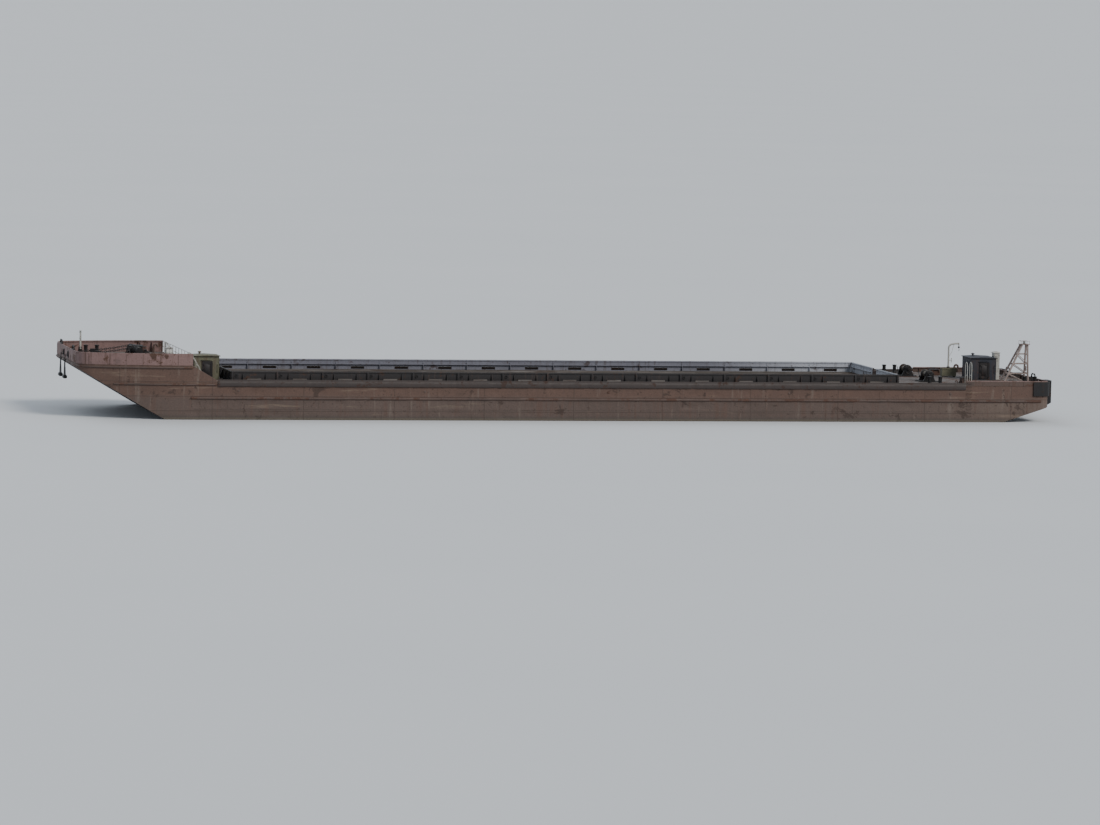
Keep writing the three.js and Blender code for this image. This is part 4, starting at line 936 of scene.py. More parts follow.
def winch(side_name, x, y):
    """A hand winch: the drum with its wire turns, and the frame's fittings."""
    at, z = (x, y, DECK), 62
    drum, wire, form = Form(at), Form(at), Form(at)
    drum.turned(WINCH_DRUM, (0, 0, z), ACROSS, 40)
    drum.gear((0, 88, z), ACROSS, 33.8, 9.4, 36, 3)
    drum.handwheel((0, -103, z), ACROSS, 32, 2.6)
    for end in (-1, 1):
        drum.spokes((0, end * 57.8, z), ACROSS, 12, 38, 8, 1.1, 2.6)
    body = f"winch_drum_{side_name}"
    drum.done(f"winch_rotor_{side_name}", "gear_black", body=body, replaces=(body,))
    layers = [(24.5, -48.5 + 4.2 * k) for k in range(24)] + [(28.1, -46.4 + 4.2 * k) for k in range(15)]
    for radius, h in layers:
        wire.ring((0, h, z), (0.02, 1, 0.015), radius, 2.1, 6, 36)
    wire.done(f"winch_wire_{side_name}", "mast_grey", body=body, smooth=60, material="wire_rope")
    for dy in (-70, 70):
        form.collar((0, dy, z), 10.5, 18, 8.5)
        form.slab((0, dy, 11.5), (100, 14, 3.6))
        for dx in (-42, 42):
            foot = dy - 22 * math.copysign(1, dy)
            form.prism([(dx, foot, 10.2), (dx, dy, 10.2), (dx * 0.75, dy, 41.7)], (2.5, 0, 0))
    form.bolts(grid((-72, 72), (-75, -30, 30, 75), (10,)), UP, 3, 2.8)
    # A pinion on its own short shaft with a crank, and the pawl that holds the gear.
    form.gear((-39.5, 88, 39.2), ACROSS, 9.8, 9.4, 11, 2.6)
    form.bar((-39.5, 64, 39.2), (-39.5, 100, 39.2), 3.5)
    form.tube([(-39.5, 100, 39.2), (-45.5, 100, 73.2), (-45.5, 118, 73.2)], 2.6)
    form.bar((32, 75, 35.2), (32, 94, 35.2), 3.5)
    form.prism([(32, 85.5, 30.7), (36, 85.5, 36.7), (29.6, 85.5, 41.2)], (0, 5, 0))
    form.done(f"winch_fittings_{side_name}", "gear_black")


# Anchors and chain
def chain_link(form, centre, ahead, on_edge):
    """A long loop of round bar, a quarter turn about the chain from its neighbours."""
    level = Vector(UP).cross(ahead)
    across = level.normalized() if level.length > 0.05 else Vector(ACROSS)
    wide = ahead.cross(across) if on_edge else across
    points = []
    for c, s in circle(18):
        reach = 6.2 * c + math.copysign(5.6, c) * min(1.0, abs(c) * 4)
        points.append(centre + ahead * reach + wide * 6.2 * s)
    form.tube(points, 2.3, 6, True)


def walk(points, step):
    """Places and directions at even steps along a line of points."""
    points = [Vector(p) for p in points]
    left = step / 2
    for a, b in zip(points, points[1:]):
        span = (b - a).length
        while left <= span:
            yield a.lerp(b, left / span), (b - a).normalized()
            left += step
        left -= span


def anchor(name, side):
    """A stockless anchor under its hawse opening, and its chain up to the windlass."""
    y, hang, eye = side * CHAIN_Y, -4278, 492
    form = Form((hang, y, eye - 135))
    form.blocks((6.2, 10.5, -6), (5.8, 8.5, 40), (5, 6.5, 123), (4.5, 7.5, 133), (4, 5, 139))
    form.blocks((8, 24, -20), (16.5, 34, -14), (16.5, 34, 4), (9, 24, 12))
    form.bar((0, -72, -6), (0, 72, -6), 5, 14)
    for end in (-1, 1):
        form.turned([(0, 0), (6.8, 1), (7.2, 5), (0, 8)], (0, end * 64.5, -6), (0, end, 0), 14)
        fluke = []
        for inner, outer, half, z in FLUKE:
            mid = (inner + outer) / 2
            outline = ((-0.5, inner), (-1, mid), (-0.4, outer), (0.4, outer), (1, mid), (0.5, inner))
            fluke.append([(half * a, end * b, z) for a, b in outline])
        form.loft(fluke)
    form.ring((0, 0, 137), ACROSS, 8.5, 2.4, 8, 22)
    form.bar((-5.5, 0, 131.5), (5.5, 0, 131.5), 2.6, 10)
    form.done(f"anchor_casting_{name}", "gear_black", replaces=(f"anchor_{name}",), smooth=42)
    wheel_z = FORECASTLE + WINDLASS_SHAFT
    path = [(WINDLASS[0] + CHAIN_RADIUS, y, 520.5)]
    path += [(WINDLASS[0] + CHAIN_RADIUS * math.cos(t), y, wheel_z + CHAIN_RADIUS * math.sin(t))
             for t in (math.pi * k / 16 for k in range(10))]
    for k in range(1, 13):
        u = k / 12
        path.append((-3666.3 - 551.7 * u, y, 607.2 - 63.7 * u - 11 * math.sin(math.pi * u)))
    path += [(BOW, y, 542), (-4266, y, 535.5), (-4275.5, y, 523), (hang, y, eye + 13.5)]
    links = Form()
    for i, (at, ahead) in enumerate(walk(path, LINK_STEP)):
        chain_link(links, at, ahead, i % 2 == 0)
    links.done(f"anchor_links_{name}", "gear_black", replaces=(f"anchor_chain_{name}",), smooth=70)


# Deck booths
def booth(name, x, y, long, wide, top, slot):
    """Trim and door fittings of a booth, drawn from the middle of its foot. x is its fore edge."""
    at = (x + long / 2, y, DECK)
    trim, pane, leaf = Form(at), Form(at), Form(at)
    half, face, far = long / 2, -wide / 2, wide / 2
    door_top = min(148, top - 14)
    for cx, cy, _ in grid((-half, half), (face, far), (0,)):
        trim.bar((cx, cy, 0.2), (cx, cy, top - 2), 2.4, 8)
    trim.box((-half - 5, face - 5, 0), (half + 5, far + 5, 3.2))
    # Stiffeners pressed into the blank sides, as (foot, way out).
    ribs = [((out * half, side), (out, 0)) for side in (face / 2, 0, far / 2) for out in (-1, 1)]
    ribs += [((-half + long * k / 5, far), (0, 1)) for k in range(1, 5)]
    heights = ((22.7, 0.2), (28.7, 2.8), (top - 26, 2.8), (top - 20, 0.2))
    for (rx, ry), (ox, oy) in ribs:
        trim.loft([[(rx + ox * d + oy * a, ry + oy * d + ox * a, z)
                    for d, a in ((0, -6), (deep, -2.8), (deep, 2.8), (0, 6))] for z, deep in heights])
    # Drip rail over the door, grab rail, gutter round the roof and rungs up the aft side.
    trim.box((-50, face - 8.5, door_top + 12.5), (36, face, door_top + 14.5))
    grab = ((0, 59.7), (-8, 63.7), (-8, 125.7), (0, 129.7))
    trim.tube([(half - 12, face + a, z) for a, z in grab], 2)
    edge_x, edge_y, edge_z = half + 9.8, far + 9.8, top + 2
    for out in (-1, 1):
        trim.bar((out * edge_x, -edge_y, edge_z), (out * edge_x, edge_y, edge_z), 2.4, 8)
        trim.bar((-edge_x, out * edge_y, edge_z), (edge_x, out * edge_y, edge_z), 2.4, 8)
    for z in range(30, int(top) - 20, 30):
        rung = ((-1, -60), (12, -60), (12, -30), (-1, -30))
        trim.tube([(half + a, far + b, z) for a, b in rung], 1.8, 6)
    # Louvred vent low on the far side, framed, with slanted blades.
    for a, b, c, d in ((-24, 24, -20, -17), (-24, 24, 17, 20), (-24, -21, -17, 17), (21, 24, -17, 17)):
        trim.box((a, far, 70 + c), (b, far + 5.2, 70 + d))
    louvres(trim, (-21, far, 56), (1, 0), (0, 1), 42, 6)
    for out in (-1, 1):
        port, way = (out * half, 20 * out, top - 55), (out, 0, 0)
        trim.turned([(12.8, 0), (18.5, 0), (18.5, 3.2), (16.8, 4.8), (14.2, 4.8), (12.8, 3)], port, way)
        trim.bolt_ring((out * (half + 3.4), *port[1:]), way, 16.6, 6, 0.4, 1.3, 1.8)
        pane.turned([(0, 1.2), (13.2, 1.2), (13.2, 2.2), (0, 2.8)], port, way)
    # Mushroom vent on the roof.
    spot, roof = (-half * 0.4, far * 0.4, 0), top + 8.5
    trim.turned([(12, roof - 4), (8.5, roof + 1), (8.5, roof + 18), (0, roof + 18)], spot, sides=20)
    cap = ((0, 15.5), (16.5, 14.5), (17.2, 16.5), (13.5, 22.5), (6, 26), (0, 26.5))
    trim.turned([(r, roof + h) for r, h in cap], spot)
    trim.done(f"{name}_trim", slot)
    pane.done(f"{name}_deadlights", slot, material="glass")
    door_fittings(leaf, face, 10.5, door_top + 4)
    leaf.done(f"{name}_door_fittings", "wall_steel", body=f"{name}_door")


def louvres(form, start, along, out, length, count):
    """Slanted blades one above another. along and out are directions on the level."""
    x, y, z = start
    for k in range(count):
        low = z + 5.6 * k
        section = ((0.5, low + 3), (4.5, low - 1.5), (5.2, low - 0.8), (1.2, low + 3.7))
        form.prism([(x + out[0] * d, y + out[1] * d, h) for d, h in section],
                   (along[0] * length, along[1] * length, 0))


def door_fittings(leaf, face, low, high):
    """Frame, pressed panel, hinge straps, dogs with their handles and a grip, on a door leaf."""
    def bars(x0, x1, z0, z1, wide, outer, inner, more=()):
        """A frame of four flat bars, and more of them, each as (x0, x1, z0, z1)."""
        for a, b, c, d in ((x0, x1, z0, z0 + wide), (x0, x1, z1 - wide, z1), (x0, x0 + wide, z0, z1),
                           (x1 - wide, x1, z0, z1), *more):
            leaf.box((a, face + outer, c), (b, face + inner, d))

    bars(-41, 40, low, high, 6, -6.2, -4.8)
    mid = (low + high) / 2
    leaf.loft([[(a * w, face - d, mid + b * h) for a, b in ((-1, -1), (1, -1), (1, 1), (-1, 1))]
               for w, h, d in ((26, 47, 4.8), (23, 44, 7.2))])
    for z in (low + 22, high - 22):
        leaf.box((12, face - 8.5, z - 4), (46, face - 6.5, z + 4))
        leaf.bolts(grid((17, 27, 36), (face - 8.5,), (z,)), (0, -1, 0), 1.5, 1.2)
        leaf.bar((46, face - 7, z - 9), (46, face - 7, z + 9), 4.6, 14)
        leaf.bar((-31, face - 4.5, z), (-31, face - 11.2, z), 2.4, 10)
        leaf.bar((-31, face - 10.2, z - 1), (-18, face - 10.2, z - 16), 1.7, 8)
    grip = ((4.8, 62.7), (12.5, 64.7), (12.5, 86.7), (4.8, 88.7))
    leaf.tube([(-30, face - a, z) for a, z in grip], 1.8)
    # Stiffeners and a pull on the inside, within the doorway.
    foot, head = low + 8, high - 9
    bars(-33, 30, foot, head, 4, -1.2, 1.8, ((-29, 26, mid - 2, mid + 2), (-3.5, 0.5, foot, head)))
    leaf.tube([(-23, face + a, mid + z) for a, z in ((-1.2, 8), (7, 10), (7, 28), (-1.2, 30))], 1.7)


def trunk_casing():
    """Pale sheet casing over the ventilator trunk behind the stern booth, with louvres and a rain cap."""
    form = Form((4003.5, -15, DECK))
    form.slab((25.2, 0, 118), (1.6, 71.6, 234)).slab((-24.3, 0, 219), (1.6, 71.6, 34))
    for out in (-1, 1):
        form.slab((0.5, out * 35.8, 118), (48, 1.6, 234))
        louvres(form, (-16, out * 36.2, 168), (1, 0), (0, out), 32, 9)
        form.slab((0.5, out * 37, 100), (50, 1.4, 5))
    louvres(form, (25.6, -26, 168), (0, 1), (1, 0), 52, 9)
    form.slab((26.4, 0, 100), (1.4, 75, 5))
    form.bolts(grid((27,), (-28, -9, 9, 28), (100,)), AFT, 1.4, 1.0)
    form.box((-30, -42, 0), (30, 42, 2.6))
    form.blocks((31, 42, 233), (31, 42, 237), (12, 23, 247))
    form.done("booth_trunk_casing", "mast_grey", bevel=0.4)


def deck_locker():
    """A low steel locker with a sloping lid, aft of the cargo space."""
    form = Form((3590, 267, DECK))
    form.box((0, -35, 8), (130, 35, 69.7))
    form.prism([(-4, y, z) for y, z in ((-39, 69.7), (39, 69.7), (39, 74.7), (-39, 80.7))], (138, 0, 0))
    for x in (10, 120):
        form.slab((x, 0, 4), (8, 62, 8.2)).slab((x, 39.5, 69), (12, 2, 22))
    form.slab((65, -36.5, 66.7), (12, 4, 18))
    form.done("deck_locker", "booth_grey", bevel=0.8)


# Masts, lamps, davit and vents
def lantern(form, glass, x, y, z, r, height):
    """A round ship's lamp: base, guard bars and cap; the glass goes to its own piece."""
    base, cap = height * 0.2, height * 0.72
    foot = ((0, 0), (1, 0), (1.03, 1.2), (1, base), (0.72, base + 1), (0, base + 1))
    hood = ((0, cap), (0.72, cap), (1.02, cap + 1), (1.02, cap + 2.2), (0.6, height * 0.88),
            (0.2, height * 0.95), (0, height * 0.96))
    for profile in (foot, hood):
        form.turned([(r * a, z + h) for a, h in profile], (x, y, 0))
    for c, s in circle(6, math.pi / 6):
        guard = (x + r * 0.86 * c, y + r * 0.86 * s)
        form.bar((*guard, z + base * 0.8), (*guard, z + cap + 1.5), r * 0.06, 6)
    rings = [(r * (0.68 + 0.06 * math.cos(k * 2.1)), z + base + (cap - base) * k / 12) for k in range(13)]
    glass.turned([(0, z + base + 0.8)] + rings + [(0, z + cap + 0.4)], (x, y, 0))


def bow_mast():
    """The folding pole with a yard and a lantern, and the cheeks of its foot."""
    at, pivot, yard, top = (-4130, 0, FORECASTLE), 85, 170, 215
    pole, glass, foot = Form(at), Form(at), Form(at)
    pole.turned([(0, 23), (6, 23.2), (7, 24.2), (7, 140), (6.6, 180), (6.2, top - 0.3), (0, top)])
    pole.turned([(7, pivot - 10), (10.2, pivot - 8), (10.2, pivot + 8), (7, pivot + 10)])
    pole.bar((0, -24, pivot), (0, 24, pivot), 3.6, 16)
    pole.bar((0, -42, yard), (0, 42, yard), 2.8, 14)
    nut = ((3.6, 18.8), (6.8, 19), (6.8, 20.5), (4, 21.2), (4, 24), (0, 24.3))
    for end in (-1, 1):
        pole.turned(nut, (0, 0, pivot), (0, end, 0), 18)
        pole.ring((0, end * 38.5, yard - 4.6), (0, 1, 0.1), 3.2, 0.9, 6, 14)
        pole.bar((0, end * 34, yard - 0.8), (0, 0, yard - 23), 1.5, 8)
    pole.turned([(6.4, yard - 6), (9, yard - 4.4), (9, yard + 4.4), (6.4, yard + 6)])
    pole.tube([(7.8, 0, 100), (8.2, 0, 125), (7.8, 0, 170), (7.4, 0, 200), (5.8, 0, 213.8)], 1.4, 6)
    for z in (115, 145, 192):
        pole.ring((0.6, 0, z), UP, 7.6, 0.8, 5, 20)
    lantern(pole, glass, 0, 0, top - 0.7, 9.8, 24)
    pole.done("bow_mast_pole", "mast_grey", body="bow_mast", replaces=("bow_mast",))
    glass.done("bow_mast_lens", "mast_grey", body="bow_mast", material="glass")
    for out in (-1, 1):
        foot.collar((0, out * 15, pivot), 5.2, 10.5, 4.2, 24)
        for dx in (-13, 11):
            foot.prism([(dx, out * a, z) for a, z in ((17.8, 3.7), (28.5, 3.7), (17.8, 33.7))], (2, 0, 0))
    foot.bar((-12.8, -12.5, 18.7), (-12.8, 12.5, 18.7), 2.2, 10)
    foot.bolts(grid((-26, 26), (-24, 0, 24), (4,)))
    foot.done("bow_mast_foot_fittings", "gear_black")


def lamp_post():
    """The lamp on its pedestal: corner posts, a middle bar, sill and head frames round four panes."""
    at, top = (-3470, -660, FORECASTLE), 70
    trim, glass = Form(at), Form(at)
    trim.turned([(16.5, 4.9), (11.5, 9), (9.6, 16), (9.3, 17)]).turned([(9, 5), (9.3, 6), (9.3, 65), (9, 66)])
    trim.bolts(grid((-15.5, 15.5), (-15.5, 15.5), (5,)))
    trim.tube([(11, 2, 12), (11, 2, 40), (11, 2, 65)], 1.5, 6)
    for z in (24, 52):
        trim.ring((1.2, 0.4, z), UP, 10.4, 0.9, 5, 20)
    for sx, sy, _ in grid((-1, 1), (-1, 1), (0,)):
        trim.slab((sx * 26.2, sy * 18.2, top + 33.2), (5.6, 5.6, 66.5))
    for z in (top + 2.7, top + 13.9, top + 63.4):
        for out in (-1, 1):
            trim.slab((0, out * 19.2, z), (57, 2.7, 3.8)).slab((out * 27.2, 0, z), (2.7, 40, 3.8))
    for out in (-1, 1):
        trim.slab((0, out * 19.2, top + 38.8), (2.6, 2.4, 48.5))
    glass.box((-26.6, -18.6, top + 15.5), (26.6, 18.6, top + 62))
    trim.slab((0, 0, top + 66.2), (68, 52, 2))
    trim.turned([(5.5, 148.2), (5.5, 152.2), (6.8, 152.7), (0, 154.2)], sides=16)
    guard = ((-33, 0.5), (-33, 30), (33, 30), (33, 0.5))
    trim.tube([(x, -25, top + z) for x, z in guard], 1.4, 6)
    trim.done("bow_lamp_trim", "mast_grey")
    glass.done("bow_lamp_panes", "mast_grey", material="lamp_white", bevel=0.4)


def stern_mast():
    """Four braced legs with rungs, a railed platform and a lantern."""
    foot, peak, head = 5, 345, 86
    form, glass = Form((4020, -500, DECK)), Form((4020, -500, DECK))

    def leg(end, side, z):
        """A point on a leg: the aft legs (end 1) stand upright, the fore legs slope aft."""
        share = (z - foot) / (peak - foot)
        return (110 if end > 0 else -110 + share * 172, side * (60 - share * 36), z)

    for end, side, _ in grid((-1, 1), (-1, 1), (0,)):
        form.bar(leg(end, side, foot), leg(end, side, peak - 2), 9, 20)
        x, y, _ = leg(end, side, foot)
        form.box((x - 14, y - 14, 0), (x + 14, y + 14, 5))
        form.bolts(grid((x - 10.5, x + 10.5), (y - 10.5, y + 10.5), (5,)), UP, 2, 2)
        form.prism([(x + end * a, y - 1, z) for a, z in ((0, 4.7), (13, 4.7), (7.5, 24), (0, 24))], (0, 2, 0))
    for z in (85, 170, 255):
        for side in (-1, 1):
            form.bar(leg(-1, side, foot + z), leg(1, side, foot + z), 4)
            form.bar(leg(-1, side, foot + z), leg(1, side, foot + z - 84), 3.8)
            for end in (-1, 1):
                a, b, c = leg(end, side, foot + z)
                form.prism([(a, b - 1, c - 13), (a - end * 19, b - 1, c), (a, b - 1, c + 13)], (0, 2, 0))
        form.bar(leg(1, -1, foot + z), leg(1, 1, foot + z), 4)
    for k in range(1, 8):
        form.bar(leg(-1, -1, foot + 42.5 * k), leg(-1, 1, foot + 42.5 * k), 3, 10)
    # Platform of bars in an angle frame, with a low guard, a lantern, a cable and its box.
    for out in (-1, 1):
        form.slab((head, out * 38.5, peak - 1), (80, 3, 6)).slab((head + out * 38.5, 0, peak - 1), (3, 80, 6))
    for k in range(12):
        form.slab((head, -34 + 6.2 * k, peak - 0.3), (76, 1.4, 3.5))
    form.slab((head, 0, peak - 0.4), (30, 30, 5.2))
    guard = [(head + a, b) for a, b in ((37.5, -37.5), (-37.5, -37.5), (-37.5, 37.5), (37.5, 37.5))]
    for spot in guard:
        form.bar((*spot, peak), (*spot, peak + 28.5), 1.3, 8)
    form.tube([(*spot, peak + 28.5) for spot in guard], 1.3)
    lantern(form, glass, head, 0, peak + 1.2, 13.2, 33.2)
    form.tube([(100, 13, foot), (100, 13, 205), (100, 13, peak - 6)], 1.6, 6)
    form.box((95, -13, 110), (108, 20, 155))
    for z in (123, 145):
        form.bar(leg(1, -1, z), leg(1, 1, z), 2.2, 8)
    form.done("stern_mast_frame", "mast_grey", replaces=("stern_mast",), material="mast_worn")
    glass.done("stern_mast_lens", "mast_grey", material="glass")


def davit():
    """A slewing arm in its deck socket, with a sheave block and a hook."""
    at, top, reach = (3810, 768, DECK), 260, 95
    arm, block, socket = Form(at), Form(at), Form(at)
    bend = [(0, 0, 10.5), (0, 0, 100), (0, 0, 180)]
    for k in range(13):
        t = k / 12
        w = ((1 - t) ** 3, 3 * t * (1 - t) ** 2, 3 * t * t * (1 - t), t ** 3)
        bend.append((w[2] * 35 + w[3] * reach, 0, w[0] * (top - 42) + w[1] * (top - 5) + (w[2] + w[3]) * top))
    arm.tube(bend, 7.8, 20)
    arm.turned([(7.8, 53.7), (12.8, 54.2), (12.8, 58.2), (7.8, 59.7)], sides=24)
    arm.box((reach - 4, -3.5, top - 18), (reach + 2.5, 3.5, top + 4.6))
    arm.ring((reach - 1, 0, top - 19), ACROSS, 4.2, 1.3, 6, 16)
    arm.bar((8, 0, 109.7), (30, 0, 109.7), 2.6, 10).bar((28, 0, 89.7), (28, 0, 129.7), 3.4)
    arm.tube([(2, 0, 139.7), (30, 0, 184.7), (48, 0, 252)], 1.8, 6)
    arm.done("davit_arm", "mast_grey", body="davit", replaces=("davit",), smooth=45)
    x, sheave = reach - 1, top - 34
    for dy in (-4.2, 4.2):
        block.turned([(0, -0.8), (8.2, -0.8), (8.5, 0), (8.2, 0.8), (0, 0.8)], (x, dy, sheave), ACROSS, 22)
    block.turned([(0, -3.2), (7.2, -3.2), (5.6, 0), (7.2, 3.2), (0, 3.2)], (x, 0, sheave), ACROSS, 22)
    block.bar((x, -6.2, sheave), (x, 6.2, sheave), 1.8, 10)
    block.box((x - 2.2, -4.5, top - 27.5), (x + 2.2, 4.5, top - 21.5))
    hook = [(x, 0, top - 42), (x, 0, top - 52)]
    hook += [(x + 6.2 * math.sin(0.25 * k), 0, top - 58.2 + 6.2 * math.cos(0.25 * k)) for k in range(19)]
    block.tube(hook, 1.4)
    block.done("davit_block", "gear_black", body="davit", smooth=45)
    socket.turned([(9.5, 0.5), (19.5, 0.1), (20, 1.1), (20, 3.9), (14.6, 5.6), (14.2, 46.1), (16.2, 46.6),
                   (16.2, 50.2), (9.5, 50.2)])
    for way in circle(4, 0.8):
        socket.web((0, 0), way, 13.8, 19.2, 4.1, 26)
    socket.done("davit_socket_trim", "gear_black")


def gooseneck(name, x, y, deck, turn, r, height, node=None):
    """A bent air pipe with a flange, a collar and a lip. turn is the way the mouth leans."""
    dx, dy, bend, mouth = math.cos(turn), math.sin(turn), r * 3.8, height * 0.56
    form = Form((x, y, deck))
    line = [(0, 0, 1), (0, 0, height * 0.5)]
    for k in range(15):
        t = math.pi * k / 14
        out = bend / 2 * (1 - math.cos(t))
        line.append((dx * out, dy * out, height * 0.62 + math.sin(t) * bend * 0.575))
    form.tube(line + [(dx * bend, dy * bend, mouth)], r, 20)
    form.turned([(r * 1.9, 0), (r * 1.9, 3.5), (r * 1.2, 4.2), (r, 6)])
    form.turned([(r, 0), (r * 1.18, 0.5), (r * 1.18, 3.5), (r, 4)], (dx * bend, dy * bend, mouth))
    form.turned([(r, -2), (r * 1.12, -1.5), (r * 1.12, 1.5), (r, 2)], (0, 0, height * 0.5))
    form.bolt_ring((0, 0, 3.6), UP, r * 1.58, 6, 0.3)
    form.done(name, "edge_rust", replaces=(node,) if node else (), smooth=45)


# Stern face, deck fittings and rails
def stern_gear():
    """Pads on the push stops, towing eyes, rungs up the stern and anodes under it."""
    form, pads, anodes = Form(), Form(), Form()
    for side in (-1, 1):
        form.place(STERN, side * 660, 0)
        pads.place(STERN, side * 660, 0)
        for k in range(5):
            z = 228.5 + 38.5 * k
            section = ((39, z - 14.5), (44.8, z - 11.5), (44.8, z + 11.5), (39, z + 14.5))
            pads.prism([(a, -52, b) for a, b in section], (0, 104, 0))
        form.bolts(grid((43.5,), (-55.6, 55.6), [219 + 36 * k for k in range(6)]), AFT, 2.4, 1.3)
        form.place(STERN, 0, 0)
        form.bolts(grid((-138, -120, -102, -84), (side * 826.4,), (288, 382)), (0, side, 0), 2.4, 0.4)
        # A towing eye with its ring, between the push stops.
        form.place(STERN, side * 300, 0)
        form.box((0.2, -30, 290), (4.5, 30, 350))
        form.prism([(a, -4, b) for a, b in ((4, 297), (24, 310), (24, 330), (4, 343))], (0, 8, 0))
        form.ring((21.5, 0, 309), ACROSS, 12.5, 2.8, 8, 26)
        form.bolts(grid((4.5,), (-24, 24), (297, 343)), AFT, 2, 1.6)
        for x in (3920, 4020, 4120):
            anodes.place(x, side * 300, bottom(x))
            anodes.blocks((30, 12, 2, 9.6), (27, 9, -9, 8.64))
            anodes.bar((-42, 0, -13.5), (42, 0, 13.5), 1.8, 8)
    form.place(STERN, 0, 0)
    for z in range(205, 386, 30):
        rung = ((-1, -20), (11.5, -20), (13.5, -17), (13.5, 17), (11.5, 20), (-1, 20))
        form.tube([(a, b, z) for a, b in rung], 1.9, 6)
    pads.done("push_stop_pads", "gear_black", smooth=35)
    form.done("stern_fittings", "gear_black", smooth=45)
    anodes.done("anodes", "mast_grey", smooth=30, material="deck_steel")


def deck_at(x):
    return FORECASTLE if x < FORECASTLE_AFT else DECK


def manhole(form, x, y):
    form.place(x, y, deck_at(x) - 0.2)
    form.turned([(34, 0), (34, 3), (31, 3.6), (31, 4.8), (29, 5.6), (0, 5.8)], sides=36)
    form.bolt_ring((0, 0, 5.7), UP, 26.2, 16, 0, 1.6, 1.8)
    for dx in (-12, 12):
        form.tube([(dx, -6, 5), (dx, -6, 9), (dx, 6, 9), (dx, 6, 5)], 1.1, 6)


def deck_ring(form, x, y):
    form.place(x, y, DECK)
    form.box((-16, -9, 0), (16, 9, 2))
    form.tube([(-7, 0, 1.7), (-7, 0, 6.2), (7, 0, 6.2), (7, 0, 1.7)], 1.8, 6)
    form.ring((6, 0, 4.5), (0.25, 0.35, 1), 11.5, 1.8, 6, 22)


MANHOLES = ((-3120, 320), (-3860, 300), (-3860, -300), (3020, 0), (3400, 560), (3400, -560),
            (4120, 300), (4120, -150), (-3050, -640))
# Doubling plates under deck gear, as (x, y, half length, half width)
DOUBLERS = ((-4000, -CHAIN_Y, 55, 50), (-4000, CHAIN_Y, 55, 50), (3280, -330, 100, 105),
            (3280, 330, 100, 105), (-3660, 0, 105, 225), (-3950, -590, 100, 45), (-3950, 590, 100, 45))


def deck_fittings():
    covers, small, pads, rails = Form(), Form(), Form(), Form()
    for x, y in MANHOLES:
        manhole(covers, x, y)
    covers.done("manhole_covers", "deck_steel")
    for side in (-1, 1):
        for i in range(BAYS):
            small.place(-2720 + BAY * i, side * 790, DECK)
            small.turned([(0, 0), (9, 0), (9, 1.8), (5.2, 2.5), (5.2, 6.5), (0, 6.8)], sides=16)
        for x in (-3040, -2360, -1190, -20, 1150, 2320, 3000):
            deck_ring(small, x, side * 792)
        for x in (BOW + 200, BOW + 470, STERN - 300):
            small.place(x, side * 400, deck_at(x))
            small.bar((0, 0, 0), (0, 0, 6.2), 8, 16).bar((0, 0, 6.2), (0, 0, 8.2), 5.2, 6)
        for i in range(7):
            x = -2900 + PLATE * i + 300 * rng.random()
            pads.place(x, side * 776, DECK).box((0, -10, -0.2), (rng.uniform(60, 160), 10, 1.7))
    small.done("deck_rings_and_caps", "gear_black", smooth=45)
    for x, y, w, d in DOUBLERS:
        pads.place(x, y, deck_at(x)).box((-w, -d, -0.2), (w, d, 1.6))
    pads.done("deck_doublers", "deck_steel", bevel=0.6)
    # Handrails where people board, hooked over the stern bulwark.
    hook = ((-742, 0), (-742, 170), (-748, 192), (-764, 202),
            (-782, 202), (-797, 192), (-803, 170), (-803, 0))
    for x in (3500, 3540):
        rails.place(x, 0, DECK)
        rails.tube([(0, y, z) for y, z in hook], 2.7, 10)
        rails.bar((0, -742, 90), (0, -803, 90), 2.1, 8)
        for y in (-742, -803):
            rails.turned([(7.5, 0), (7.5, 2.2), (3.5, 3)], (0, y, 0), sides=16)
    rails.done("boarding_rails", "mast_grey", smooth=50)


# Stage, light and camera
def stage():
    s = Shader("floor_paint")
    s.colour = s.mottled(0.25, 3, 0.5, (196, 200, 204), (202, 205, 208))
    mesh = bpy.data.meshes.new("studio_floor")
    corners = [(x * FLOOR_HALF, y * FLOOR_HALF, WATERLINE) for x, y in ((-1, -1), (1, -1), (1, 1), (-1, 1))]
    mesh.from_pydata(corners, [], [(0, 1, 2, 3)])
    mesh.materials.append(s.finish(0.7))
    linked("studio_floor", mesh)
    world = bpy.data.worlds.new("studio")
    bpy.context.scene.world = world
    world.use_nodes = True
    back = world.node_tree.nodes["Background"]
    back.inputs["Color"].default_value = rgb(206, 214, 224)
    back.inputs["Strength"].default_value = 0.8


def sun(name, toward, strength, spread, colour):
    """A light along a direction, with the width of its disc in degrees."""
    data = bpy.data.lights.new(name, "SUN")
    data.energy = strength
    data.angle = math.radians(spread)
    data.color = colour
    linked(name, data).rotation_euler = Vector(toward).to_track_quat("-Z", "Y").to_euler()


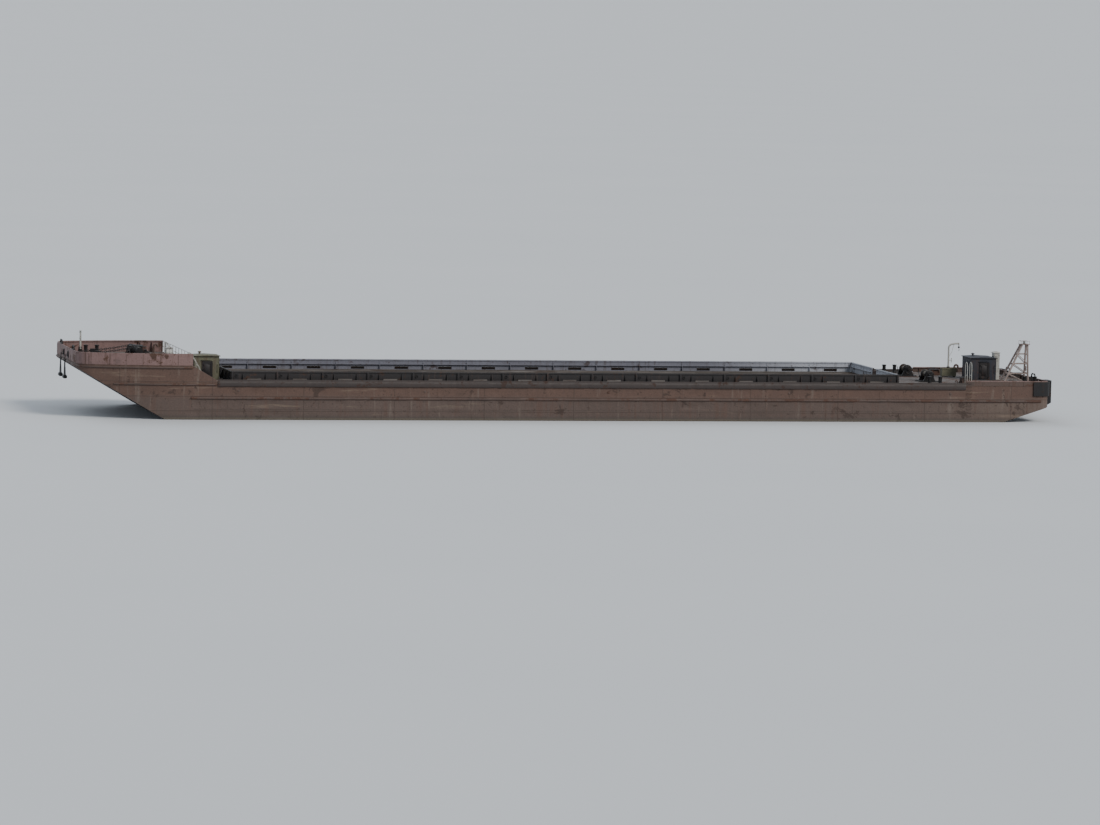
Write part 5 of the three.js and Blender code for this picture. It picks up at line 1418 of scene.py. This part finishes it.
def camera():
    """Low over the port bow, with the small tilt that the photo has along the waterline."""
    data = bpy.data.cameras.new("camera")
    data.lens = 180
    data.sensor_width = 36
    data.clip_end = 9000
    made = linked("camera", data)
    azimuth, elevation, distance, roll = math.radians(-13), math.radians(4.3), 47.7, 0.022
    level = math.cos(elevation)
    back = Vector((math.sin(azimuth) * level, -math.cos(azimuth) * level, math.sin(elevation)))
    made.location = Vector((-0.02, 0.0, 0.28)) + back * distance
    ahead = Vector((-0.02, 0.0, 0.05)) - made.location
    made.rotation_euler = (ahead.to_track_quat("-Z", "Y") @ Quaternion((0, 0, 1), roll)).to_euler()
    bpy.context.scene.camera = made


dress_solids()
hull_shell()
side_fittings()
bulwark_trim()
forecastle_break()
planks()
wall_trim()
gates()
for place, x, y, deck in (("bow", BOW + 300, 590, FORECASTLE), ("aft", STERN - 1010, 700, DECK),
                          ("stern", STERN - 130, 640, DECK)):
    for side_name, side in SIDES:
        bollard(f"bollard_{place}_{side_name}", x, side * y, deck)
for place, x, y, deck in (("bow", BOW + 640, 520, FORECASTLE), ("stern", STERN - 660, 470, DECK)):
    for side_name, side in SIDES:
        hatch(f"{place}_{side_name}", x, side * y, deck)
windlass()
for side_name, side in SIDES:
    winch(side_name, STERN - 970, side * 330)
    anchor(side_name, side)
booth("bow_booth", BOW + 1030, -360, 210, 190, 195, "booth_grey")
booth("stern_booth", STERN - 490, 40, 220, 280, 190, "booth_navy")
trunk_casing()
deck_locker()
bow_mast()
lamp_post()
stern_mast()
davit()
gooseneck("vent_pipe_bow", BOW + 850, 640, FORECASTLE, 0.0, 9, 92, "vent_bow_starboard")
gooseneck("vent_pipe_stern", STERN - 420, 650, DECK, 0.0, 9, 92, "vent_stern_starboard")
for i, (x, y, turn) in enumerate(((-3450, -760, 1.9), (-3450, 760, -1.9), (3420, 780, 3.4), (3420, -780, 2.9),
                                  (-2995, 200, 3.1), (2960, 200, 0.2))):
    gooseneck(f"air_pipe_{i + 1}", x, y, deck_at(x), turn, 4.5, 55)
stern_gear()
deck_fittings()
stage()
sun("key", (-0.55, 0.7, -0.75), 2.6, 22, (1, 0.95, 0.88))
sun("rim", (0.3, -0.8, -0.6), 0.7, 35, (0.9, 0.95, 1))
camera()
